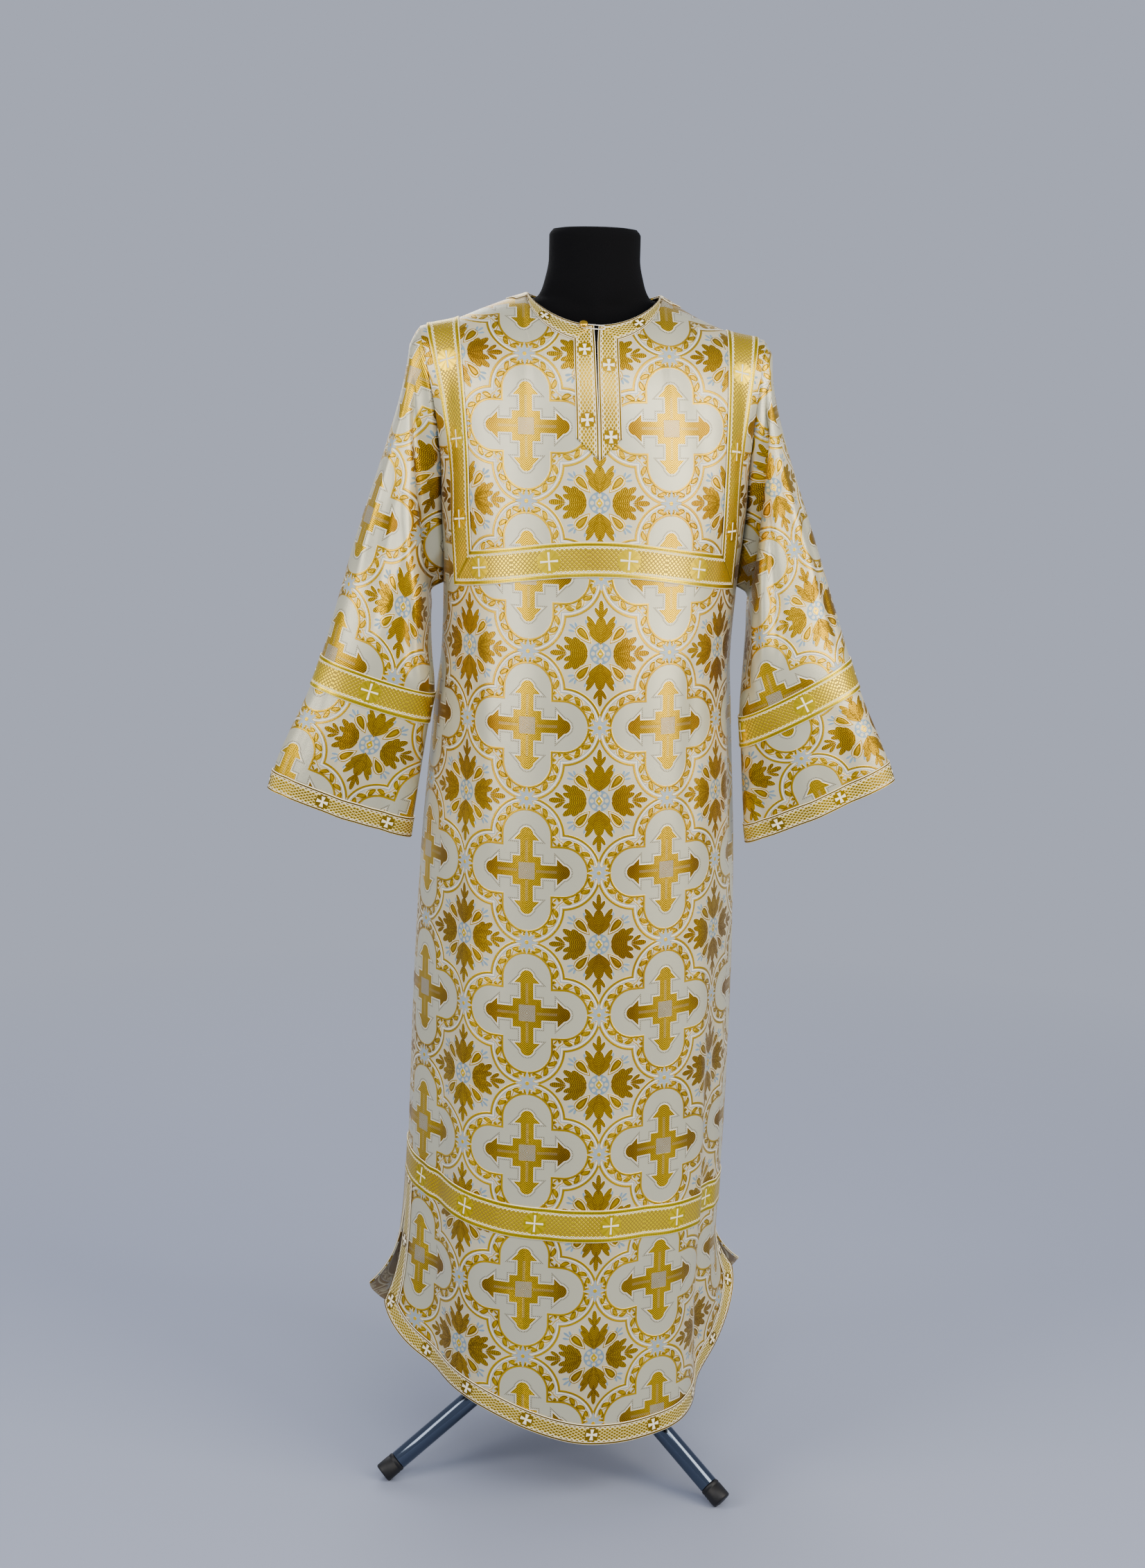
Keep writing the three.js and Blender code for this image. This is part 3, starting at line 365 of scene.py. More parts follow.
# %% Creases of the body, as ridges and troughs along the cloth
# side (-1 front, 1 back), place along the cloth, lean, width, depth, lowest and highest point
CREASES = [
    (-1, -196, 0.02, 16, -3.2, 560, 1080), (-1, -118, -0.03, 20, 2.2, 250, 760),
    (-1, -62, 0.02, 18, -2.4, 180, 640), (-1, 12, -0.02, 22, 2.2, 170, 560),
    (-1, 70, 0.03, 17, -2.6, 160, 700), (-1, 158, -0.03, 18, 3.0, 200, 860),
    (-1, 186, -0.05, 12, -4.2, 120, 640), (-1, 226, -0.03, 12, 3.2, 150, 760),
    (-1, -246, 0.03, 12, 3.4, 300, 900), (-1, -206, 0.08, 13, -2.6, 1260, 1480),
    (-1, 208, -0.08, 13, -2.8, 1250, 1470), (-1, -128, 0.16, 16, -1.8, 1300, 1490),
    (-1, 132, -0.18, 16, -1.8, 1290, 1480), (-1, -60, -0.10, 20, -1.6, 980, 1240),
    (-1, 52, 0.10, 20, -1.6, 960, 1230), (-1, 128, 0.04, 17, -2.2, 860, 1160),
    (-1, -140, -0.05, 17, 2.0, 820, 1180), (-1, 236, 0.03, 14, -3.0, 780, 1180),
    (1, -230, 0.02, 15, 3.0, 260, 900), (1, -160, 0.03, 18, -3.6, 180, 860),
    (1, -84, -0.02, 16, 3.4, 160, 800), (1, 8, 0.02, 17, 3.6, 200, 960),
    (1, 96, -0.03, 16, -3.6, 170, 760), (1, 132, 0.02, 15, 3.2, 240, 900),
    (1, 214, -0.02, 16, 3.4, 260, 980), (1, -190, 0.10, 15, -3.0, 1240, 1480),
    (1, 196, -0.11, 15, -2.8, 1230, 1470), (1, -20, 0.05, 24, -2.4, 1040, 1420),
    (1, 70, -0.06, 20, 2.2, 1020, 1360), (1, -96, 0.07, 20, 2.2, 1000, 1330),
]


def crease_depth(panel, s, z, edge):
    """Sum of bell-shaped ridges: each fades in and out over a quarter of its height, and all
    of them fade over the last 30 mm before a seam."""
    total = 0 * s
    for side, at, lean, width, depth, low, high in CREASES:
        if side == panel["side"]:
            fade = (high - low) / 4
            live = smooth((z - low) / fade) * smooth((high - z) / fade)
            middle = at + lean * (z - (low + high) / 2)
            total = total + depth * live * np.exp(-(((s - middle) / width) ** 2))
    return total * smooth((edge - np.abs(s)) / 30)


print("creases of the body:", len(CREASES))

# %% [markdown]
# ### Columns
# The trims run straight along the grain, so the grid gets a column at each of their edges. Then
# a trim's edge is a column of the cloth, and nothing has to be cut or projected later.

# %% Columns of the grid: where the sewn lines run
COLUMN_TOP = [0, NARROW, 46, 62, 76, NECK_HALF, 113, 142, BAND_INNER, BAND_OUTER]
COLUMN_LOW = [0, NARROW, 49, 70, 91, 112, 132, 152, BAND_INNER, BAND_OUTER]
NECK_COLUMN, BAND_COLUMN, EDGE_COLUMN = 5, 8, 12


def edge_distance(panel, hand, row):
    """How far out the armhole or the side seam lies at each row."""
    near = np.full(np.shape(row), hand * 300.0)
    z = np.zeros(np.shape(row))
    for line in range(3, 8):
        on = (np.clip(np.floor(row), 0, 7) == line)
        below = mix(line_height(panel, near, line), line_height(panel, near, line + 1), row - line)
        z = np.where(on, below, z)
    side = seam_distance(panel, np.maximum(z, 60))
    under = mix(armhole(3.0), side, np.clip(row - 3, 0, 1))
    return np.where(row <= 3, armhole(row), np.where(row < 4, under, side))


def column_distance(panel, column, row):
    """s of a column, counted from the centre with its sign, straight between sewn lines."""
    hand = np.where(column < 0, -1, 1)
    out = np.abs(column)
    edge = np.where(hand < 0, edge_distance(panel, -1, row), edge_distance(panel, 1, row))
    inner = edge - np.minimum(NARROW, 0.4 * (edge - BAND_OUTER))
    steps = np.arange(10)
    blend = np.clip(row / 2, 0, 1)
    near = mix(np.interp(out, steps, COLUMN_TOP), np.interp(out, steps, COLUMN_LOW), blend)
    middle = (BAND_OUTER + inner) / 2
    far = np.where(out < 10, mix(BAND_OUTER, middle, out - 9),
                   np.where(out < 11, mix(middle, inner, out - 10), mix(inner, edge, out - 11)))
    return hand * np.where(out <= 9, near, far), edge


def slit_gap(panel, column, row):
    """The slit opens by a few millimetres at the neck and pushes the first column aside."""
    if panel is BACK:
        return 0 * row
    open_ = SLIT_HALF_GAP * np.clip(1 - row / SLIT_ROW, 0, None)
    return open_ * np.clip(1 - np.abs(column), 0, 1)


def cloth(panel, column, row, lift=0.0, hand=None):
    """Points of the creased cloth at (column, row), raised by a lift along the normal.
    hand tells apart the two edges of the slit, both at column 0."""
    column, row = np.broadcast_arrays(np.asarray(column, float), np.asarray(row, float))
    s, edge = column_distance(panel, column, row)
    hand = np.sign(column) if hand is None else hand
    s = s + hand * slit_gap(panel, column, row)

    def base(ds, drow):
        return cloth_base(panel, s + ds, np.clip(row + drow, 0, 8))

    point = base(0, 0)
    across = base(0.5, 0) - base(-0.5, 0)
    down = base(0, 0.01) - base(0, -0.01)
    normal = np.cross(down, across) * -panel["side"]
    normal /= np.maximum(np.linalg.norm(normal, axis=-1), 1e-9)[..., None]
    depth = crease_depth(panel, s, point[..., 2], edge)
    return point + normal * (depth + lift)[..., None], s


probe, _ = cloth(FRONT, np.array([0.0, 5.0, 12.0]), np.array([2.0, 4.0, 6.0]))
print("three points of the front cloth:", probe.round().tolist())

# %% [markdown]
# ## Sleeves
# A sleeve is a tube that grows out of the armhole: its first ring is the armhole itself, and the
# next rings pass over into a flat hanging tube with a top line and an under line. The creases
# lie mostly where the cloth turns down from the shoulder and where the hanging tube bends.

# %% The armhole as the first ring of a sleeve
def armhole_ring(hand, turns):
    """Points of the armhole at each turn, from the shoulder down the front (0 to pi) and up
    the back (pi to 2 pi), evenly by length."""
    rows = np.linspace(0, 4, 161)
    edge = np.full(rows.shape, float(hand * EDGE_COLUMN))
    front, _ = cloth(FRONT, edge, rows)
    back, _ = cloth(BACK, edge, rows)
    ring = np.empty(turns.shape + (3,))
    for points, start in ((front, 0), (back[::-1], math.pi)):
        length = np.concatenate([[0], np.cumsum(np.linalg.norm(np.diff(points, axis=0), axis=1))])
        at = (turns - start) / math.pi * length[-1]
        on = (turns >= start) & (turns <= start + math.pi)
        for axis in range(3):
            ring[..., axis] = np.where(on, np.interp(at, length, points[:, axis]), ring[..., axis])
    return ring


def sleeve_ring(hand, along, turns):
    """A ring round the top line and the under line: a superellipse of the tabled depth."""
    at = {name: through(SLEEVES[hand], "along", name)(along) for name in SLEEVES[hand] if name != "along"}
    top = np.stack([at["top_x"], at["middle"], at["top_z"]], -1)
    under = np.stack([at["under_x"], at["middle"], at["under_z"]], -1)
    across = np.sin(turns)
    deep = -np.sign(across) * at["depth"] * np.abs(across) ** 0.85
    point = (top + under) / 2 + (top - under) / 2 * np.cos(turns)[..., None]
    point[..., 1] += deep
    return point


def sleeve_base(hand, along, turns):
    """The tube's ring, pulled to the armhole near its start, stood off from the body beside it
    and pushed in or out by its large folds."""
    along, turns = np.broadcast_arrays(np.asarray(along, float), np.asarray(turns, float))
    turns = np.mod(turns, 2 * math.pi)
    ring = sleeve_ring(hand, along, turns)
    fade = np.clip(1 - along / BLEND, 0, 1) ** 4
    offset = (armhole_ring(hand, turns) - sleeve_ring(hand, 0 * along, turns)) * fade[..., None]
    offset[..., 0] += hand * STAND_OFF_OUT * np.exp(-along / STAND_OFF_REACH) * np.clip(along / 0.035, 0, 1)
    fold = 0 * along
    for f in SLEEVE_FOLDS:
        grow = smooth((along - f["from"]) / (f["full"] - f["from"]))
        gone = 1 - smooth((along - f["full"]) / (f["gone"] - f["full"]))
        bell = np.exp(-(((turns / (2 * math.pi) - f["round"]) / f["width"]) ** 2))
        fold = fold + f["depth"] * grow * gone * bell
    offset[..., 1] += -np.sign(np.sin(turns)) * fold
    return ring + offset


probe = sleeve_base(-1, np.array([0.0, 1.0]), np.array([0.0, 0.0]))
print("top line of the left sleeve, from and to:", probe.round().tolist())

# %% [markdown]
# ### Creases of the sleeves
# They lean a little round the tube, since the sleeve twists where it leaves the shoulder. Beside
# the armhole the cloth turns down sharply and leaves a hollow in front and a shallow one behind.

# %% Creases of the sleeves: hand, turn, lean, width, depth, where they begin and end
SLEEVE_CREASES = [
    (-1, 0.10, 0.05, 0.020, 2.4, 0.06, 0.55), (-1, 0.17, 0.10, 0.024, -2.4, 0.10, 0.60),
    (-1, 0.27, -0.06, 0.022, 2.6, 0.15, 0.66), (-1, 0.32, 0.10, 0.018, -2.2, 0.30, 0.70),
    (-1, 0.12, -0.05, 0.020, -2.0, 0.72, 1.05), (-1, 0.24, 0.08, 0.026, 2.8, 0.76, 1.10),
    (-1, 0.36, -0.04, 0.022, -2.4, 0.74, 1.08), (-1, 0.58, 0.06, 0.026, 3.0, 0.10, 0.70),
    (-1, 0.72, -0.05, 0.024, -3.0, 0.20, 0.90), (-1, 0.86, 0.05, 0.022, 2.6, 0.30, 1.06),
    (1, 0.30, 0.10, 0.022, 3.2, 0.10, 0.62), (1, 0.235, 0.12, 0.022, -3.4, 0.12, 0.64),
    (1, 0.14, -0.05, 0.022, 2.4, 0.10, 0.60), (1, 0.07, 0.04, 0.020, -2.0, 0.25, 0.72),
    (1, 0.40, -0.06, 0.020, 2.4, 0.20, 0.70), (1, 0.17, 0.06, 0.026, -2.6, 0.74, 1.08),
    (1, 0.28, -0.08, 0.026, 2.8, 0.76, 1.10), (1, 0.38, 0.04, 0.020, -2.2, 0.72, 1.06),
    (1, 0.60, -0.06, 0.026, -3.0, 0.12, 0.72), (1, 0.74, 0.05, 0.024, 3.0, 0.20, 0.90),
    (1, 0.88, -0.05, 0.022, -2.6, 0.30, 1.06),
]
TROUGH = 12  # depth of the hollow beside the armhole, where the sleeve turns down


def sleeve(hand, along, turns, lift=0.0):
    """The creased tube, raised by a lift along its normal."""
    along, turns = np.broadcast_arrays(np.asarray(along, float), np.asarray(turns, float))
    point = sleeve_base(hand, along, turns)
    ring_after = sleeve_base(hand, np.clip(along + 0.004, 0, 1), turns)
    ring_before = sleeve_base(hand, np.clip(along - 0.004, 0, 1), turns)
    onward = ring_after - ring_before
    round_ = sleeve_base(hand, along, turns + 0.03) - sleeve_base(hand, along, turns - 0.03)
    normal = np.cross(onward, round_) * -hand
    normal /= np.maximum(np.linalg.norm(normal, axis=-1), 1e-9)[..., None]
    depth = 0 * along
    for side, at, lean, width, height, low, high in SLEEVE_CREASES:
        if side == hand:
            fade = (high - low) / 4
            live = smooth((along - low) / fade) * smooth((high - along) / fade)
            away = np.mod(turns / (2 * math.pi) - at - lean * (along - low) + 0.5, 1) - 0.5
            depth = depth + height * live * np.exp(-((away / width) ** 2))
    depth = depth * smooth(along / 0.08)
    share = turns / (2 * math.pi)
    front = smooth((share - 0.06) / 0.1) * smooth((0.47 - share) / 0.1)
    trough = np.exp(-(((along - 0.05) / 0.03) ** 2)) * np.maximum(front, 0.5 * (share > 0.5))
    depth = depth - TROUGH * trough
    return point + normal * (depth + lift)[..., None]


# %% [markdown]
# ## Making a mesh from a grid
# A grid of points becomes a mesh of four-sided faces. Points in the same place are welded, so a
# tube closes and the two halves of the front join below the slit, while each corner of a face
# keeps its own place in the cloth's map. Solidify then gives the shell its thickness.

# %% One function for every grid
STAND_LOW, STAND_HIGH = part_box("stand_pole")
SHIFT = np.array([
    (STAND_LOW[0] + STAND_HIGH[0]) * 500 - STAND_X,
    (STAND_LOW[1] + STAND_HIGH[1]) * 500 - STAND_Y,
    0,
])
print("the model lies", SHIFT.round(3).tolist(), "mm from the tables' own origin")


def grid_faces(rows, columns, first=0, flipped=False):
    """Corner numbers of each cell of a grid, row by row: down first, then across."""
    r, c = np.meshgrid(np.arange(rows - 1), np.arange(columns - 1), indexing="ij")
    a = first + r * columns + c
    corners = np.stack([a, a + columns, a + columns + 1, a + 1], -1).reshape(-1, 4)
    return corners[:, ::-1] if flipped else corners


def add_piece(name, points, faces, materials, node, uv=None, caps=()):
    """A mesh object from points in millimetres: welded, smooth, with the cloth's map in metres.
    caps are rings of corner numbers that each get one flat face."""
    placed = (np.asarray(points, float).reshape(-1, 3) + SHIFT) / 1000
    _, kept, index = np.unique(np.round(placed, 6), axis=0, return_index=True, return_inverse=True)
    order = index.reshape(-1)
    placed = placed[kept]
    corners = order[faces].tolist() + [order[np.asarray(c)].tolist() for c in caps]
    mesh = bpy.data.meshes.new(name)
    mesh.from_pydata(placed.tolist(), [], corners)
    mesh.polygons.foreach_set("use_smooth", [True] * len(corners))
    if uv is not None:
        flat = np.asarray(uv, float).reshape(-1, 2) / 1000
        layer = mesh.uv_layers.new(name="cloth")
        used = np.concatenate([np.asarray(faces).reshape(-1)] + [np.asarray(c) for c in caps])
        layer.data.foreach_set("uv", flat[used].reshape(-1))
    mesh.validate()
    piece = bpy.data.objects.new(name, mesh)
    bpy.context.scene.collection.objects.link(piece)
    for material in materials:
        mesh.materials.append(material)
    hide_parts(node)
    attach(piece, "root")
    return piece


def thicken(piece, millimetres, lining=False):
    """A wall under the surface; its inner face takes the second material if there is one."""
    wall = piece.modifiers.new("wall", "SOLIDIFY")
    wall.thickness = millimetres / 1000
    wall.offset = -1
    wall.use_even_offset = False
    if lining:
        wall.material_offset = 1
    return piece

# %% [markdown]
# ## Finishes
# A finish is a small network of nodes. Colours are written as sRGB hex values and turned to
# linear light by one function, and one function adds a node with its settings and links. A field
# is a number that varies over the surface, so a pattern can be written as a formula. Painted
# images would be quicker to draw, but they blur close up and can't be read or changed as code.

# %% Colours and nodes
def linear(hex_colour):
    """sRGB to linear light: c / 12.92 below 0.04045, else ((c + 0.055) / 1.055)^2.4."""
    parts = [int(hex_colour[k:k + 2], 16) / 255 for k in (0, 2, 4)]
    return tuple(c / 12.92 if c <= 0.04045 else ((c + 0.055) / 1.055) ** 2.4 for c in parts) + (1.0,)


def fill(node, **sockets):
    """Fills a node's named sockets, with a link where the value is a field or a socket."""
    for name, value in sockets.items():
        socket = node.inputs[name.replace("_", " ")]
        value = value.socket if isinstance(value, Field) else value
        if isinstance(value, bpy.types.NodeSocket):
            node.id_data.links.new(value, socket)
        else:
            socket.default_value = value
    return node.outputs[0]


def add_node(tree, kind, *inputs, output=0, **settings):
    """Adds a node, sets its settings, and fills its inputs in order with links or values."""
    node = tree.nodes.new(kind)
    for key, value in settings.items():
        setattr(node, key, value)
    for socket, value in zip(node.inputs, inputs):
        value = value.socket if isinstance(value, Field) else value
        if isinstance(value, bpy.types.NodeSocket):
            tree.links.new(value, socket)
        elif value is not None:
            socket.default_value = value
    return node.outputs[output]


# %% Fields: numbers over the surface, with the signs of arithmetic
class Field:
    """A number over the surface; the signs of arithmetic each add one Math node."""

    def __init__(self, tree, socket):
        self.tree, self.socket = tree, socket

    def math(self, operation, *others):
        """One Math node with this field as its first input."""
        return Field(self.tree, add_node(self.tree, "ShaderNodeMath", self, *others, operation=operation))

    def __add__(self, other):
        return self.math("ADD", other)

    def __sub__(self, other):
        return self.math("SUBTRACT", other)

    def __mul__(self, other):
        return self.math("MULTIPLY", other)

    __radd__, __rmul__ = __add__, __mul__

    def __rsub__(self, other):
        return self.math("MULTIPLY_ADD", -1.0, other)

    def __abs__(self):
        return self.math("ABSOLUTE")

    def least(self, *others):
        """The smaller value at each point, which joins shapes."""
        return self if not others else self.math("MINIMUM", others[0]).least(*others[1:])

    def most(self, *others):
        """The larger value at each point, which keeps what shapes have in common."""
        return self if not others else self.math("MAXIMUM", others[0]).most(*others[1:])

    def beyond(self, other):
        """1 where the field is greater than a value, else 0."""
        return self.math("GREATER_THAN", other)

    def within(self, soft=0.25):
        """1 inside a shape, whose field is below 0, and 0 outside, with a soft edge."""
        return Field(self.tree, add_node(self.tree, "ShaderNodeMapRange", self, soft, -soft, 0.0, 1.0))

    def line(self, at, half, soft=0.25):
        """1 where the field is within half of a value."""
        return (abs(self - at) - half).within(soft)


def hypot(x, y):
    """Length of (x, y)."""
    both = add_node(x.tree, "ShaderNodeCombineXYZ", x, y, 0.0)
    return Field(x.tree, add_node(x.tree, "ShaderNodeVectorMath", both, operation="LENGTH", output=1))


def new_material(name):
    """A material with only a Principled shader; returns it with its tree and its shader."""
    material = bpy.data.materials.new(name)
    material.use_nodes = True
    tree = material.node_tree
    tree.nodes.clear()
    shader = tree.nodes.new("ShaderNodeBsdfPrincipled")
    tree.links.new(shader.outputs[0], tree.nodes.new("ShaderNodeOutputMaterial").inputs[0])
    return material, tree, shader


# %% Fields of place: where a point of the surface lies
CLOUD_SCALE = 9.0  # patches of a slightly other tone are about 110 mm across
MIX, BUMP = "ShaderNodeMixRGB", "ShaderNodeBump"  # a mix takes share, colour below, colour above


def slow_cloud(tree):
    """A slow change from 0 to 1, from noise on the object's own coordinates."""
    coords = add_node(tree, "ShaderNodeTexCoord", output=3)
    return Field(tree, add_node(tree, "ShaderNodeTexNoise", coords, None, CLOUD_SCALE, 2.0, 0.5))


def place_fields(tree):
    """The object's own x, y and z in millimetres, as three fields."""
    coords = add_node(tree, "ShaderNodeTexCoord", output=3)
    parts = add_node(tree, "ShaderNodeSeparateXYZ", coords).node.outputs
    return [Field(tree, part) * 1000.0 for part in parts]


def cloth_fields(tree):
    """The cloth's own map in millimetres, as two fields."""
    uv = add_node(tree, "ShaderNodeUVMap", uv_map="cloth")
    parts = add_node(tree, "ShaderNodeSeparateXYZ", uv).node.outputs
    return Field(tree, parts[0]) * 1000.0, Field(tree, parts[1]) * 1000.0


# %% [markdown]
# ## Brocade
# The cloth is a satin of silver-white silk with a second weft of gold lurex, flat metal strip
# wound on a core, so its gold turns from bright yellow to brown as the cloth turns to the light.
# The pattern is a traditional church one with a repeat of 180 mm: crosses in barbed
# quatrefoils, leaf sprays between them, and rosettes where the leafy bands cross.
# A weaver's chart is a grid of coloured squares. Here it is charted as distances instead, which
# stay sharp at any size: a field is below 0 inside a shape. Folding the map at the pattern's own
# mirrors means that each motif is written once.

# %% Sizes of the brocade's motifs, in millimetres
REPEAT = 180.0
HALF = REPEAT / 2
LOBE_CENTRE, LOBE_RADIUS = 45.0, 30.0  # the quatrefoil's lobes, from the cross's middle
BAND_WIDTH = 18.0  # the leafy band round a quatrefoil
NOTCH = 38.2  # where two lobes meet, along u and v
ARM_HALF, ARM_END, BLOCK_HALF, HEAD_RADIUS, SQUARE_HALF = 8.3, 46.0, 18.3, 8.6, 10.4  # the cross
LEAF_PITCH = 14.0  # from one leaf of the vine to the next
VINE_OUT = 6.8  # the vine's middle line, outside the quatrefoil
WREATH_RADIUS, WREATH_HALF = 9.4, 3.9
ROSETTE_RADIUS, PETAL_DEPTH = 15.8, 7.4
RIB_PITCH = 2.7  # ribs of the gold weave; the thread itself is 0.3 mm, too fine to show
BEAD = 1.25  # one bead of the dotted line round the cross
TWILL_PITCH = 0.9  # the satin's slanting grain, drawn three times as coarse as it is
SILK_LUSTRE = 0.45  # the silver-white weft holds some metal too
# leaves of a spray, from its middle: (across, up) of the start, degrees, length, half width
SPRAY_UP = [
    ((0, 10), 0, 34, 6.8), ((1, 22), 35, 28, 3.2), ((1, 16), 37, 26.5, 3.4), ((1, 12), 39, 20, 3.4),
    ((0, 38), 0, 26, 3.2), ((0, 41), 28, 16, 2.4)]
SPRAY_SIDE = [
    ((15, 0), 90, 22, 9.0), ((15, 1), 40, 17, 3.8), ((16, 1), 44, 25, 4.0), ((17, 1), 57, 33, 4.2),
    ((19, 0.5), 73, 27, 3.6), ((40, 0), 90, 22, 3.6), ((41, 1), 59, 16, 2.6)]
SPRIGS = [((28, 28), 22, 10, 1.5), ((29, 28), 52, 12, 1.6), ((30, 26), 80, 10, 1.5), ((17, 33), 14, 8, 1.3)]
BUD = ((11, 12), 43, 27, 7.2)

# %% [markdown]
# ### Leaves
# A palmette could be one long outline, but its leaves overlap like real ones, so each is a small
# formula of its own, and the nearest of them is the shape. The distance to the nearest outline
# is kept as well, because the weaver parts the leaves by a dark thread.

# %% One leaf, and a table of leaves
def leaflet(x, y, start, degrees, length, half):
    """A leaf broadest two thirds along: distance from its axis less 2.6 half t sqrt(1 - t)."""
    turn = math.radians(degrees)
    along = (x - start[0]) * math.sin(turn) + (y - start[1]) * math.cos(turn)
    across = abs((x - start[0]) * math.cos(turn) - (y - start[1]) * math.sin(turn))
    t = along * (1 / length)
    return (across - t * (1.0 - t).most(0.0).math("SQRT") * (2.6 * half)).most(along - length)


def leaflets(x, y, table):
    """All leaves of a table as one shape, and the distance to the nearest outline."""
    shape = outline = None
    for row in table:
        leaf = leaflet(x, y, *row)
        shape = leaf if shape is None else shape.least(leaf)
        outline = abs(leaf) if outline is None else outline.least(abs(leaf))
    return shape, outline


# %% [markdown]
# ### The chart
# The map is folded like paper at the middle of each motif and along its diagonal, so an eighth
# of the repeat draws all of it. u is the distance from the cross's middle along its arm, v the
# distance off it, and c and e are counted from the middle of the leaf sprays.

# %% The chart of the brocade
def brocade_chart(tree):
    """Folds the map into one eighth of the repeat and returns the pattern's fields."""
    s, h = cloth_fields(tree)
    a = HALF - s.math("PINGPONG", HALF)
    b = h.math("PINGPONG", HALF)
    u, v = a.most(b), a.least(b)
    k = {"s": s, "h": h, "a": a, "b": b, "u": u, "v": v, "c": HALF - a, "e": HALF - b}
    # the barbed quatrefoil: two crossed capsules, 90 mm long between centres and 60 mm wide
    lobe_u = (u - LOBE_CENTRE).most(0.0)
    k["field"] = hypot(lobe_u, v) - LOBE_RADIUS
    # the cross in it: arm, block, round head and barbs
    head = hypot(u - ARM_END, v) - HEAD_RADIUS
    barb = (38.2 - u).most((v + (u - 39.5) * 0.95 - 15.4) * 0.72, u - 50.0)
    k["cross"] = (v - ARM_HALF).most(u - ARM_END).least(u - BLOCK_HALF, head, barb)
    # the vine, along the band from the notch to the rosette: leaves that lean to and fro
    round_lobe = (math.pi / 2 - v.math("ARCTAN2", lobe_u)) * (LOBE_RADIUS + BAND_WIDTH / 2)
    along = round_lobe + (u - LOBE_CENTRE).least(0.0)
    wave = (along * (math.pi / LEAF_PITCH)).math("SINE")
    leaf_at = (along + 1.0).math("WRAP", LEAF_PITCH, 0.0) - LEAF_PITCH / 2
    away = k["field"] - VINE_OUT
    lean = leaf_at * wave.math("SIGN") * 0.45
    k["leaf"] = abs(away - lean) - (1.0 - leaf_at * leaf_at * 0.021) * 4.0
    k["stem"] = abs(away + wave * 3.6) - 0.8
    # rosettes with eight petals, and the small four-petalled flower in each notch
    ros_x = u - HALF
    k["ros_r"] = hypot(ros_x, v)
    k["petal"] = abs((v.math("ARCTAN2", ros_x) * 4.0).math("SINE"))
    k["rosette"] = (k["ros_r"] - ROSETTE_RADIUS + k["petal"] * PETAL_DEPTH) * 0.7
    k["tuft"] = abs(u - NOTCH).math("SQRT") + abs(v - NOTCH).math("SQRT") - 2.6
    # the leaf sprays, from the middle of their own field
    c, e = k["c"], k["e"]
    k["up"], up_edge = leaflets(c, e, SPRAY_UP)
    k["side"], side_edge = leaflets(c, e, SPRAY_SIDE)
    k["spray"], k["spray_edge"] = k["up"].least(k["side"]), up_edge.least(side_edge)
    k["bud"] = leaflet(c, e, *BUD)
    k["sprig"], _ = leaflets(c, e, SPRIGS)
    k["middle"] = hypot(c, e)
    holes = (hypot(c - 9.2, e) - 2.5).least(hypot(c, e - 9.2) - 2.5, hypot(c - 6.6, e - 6.6) - 2.4)
    k["wreath"] = (abs(k["middle"] - WREATH_RADIUS) - WREATH_HALF).most(0.0 - holes)
    k["heart"] = (c * 1.5 + e - 6.4) * 0.6
    return k


# %% [markdown]
# ### Layers
# Each weft comes to the face where its motif is drawn and runs behind the satin elsewhere. So
# the fields are turned into layers from 0 to 1, one for each weft, and the narrow lines that the
# weaver sets round a motif are bands of its own distance field.

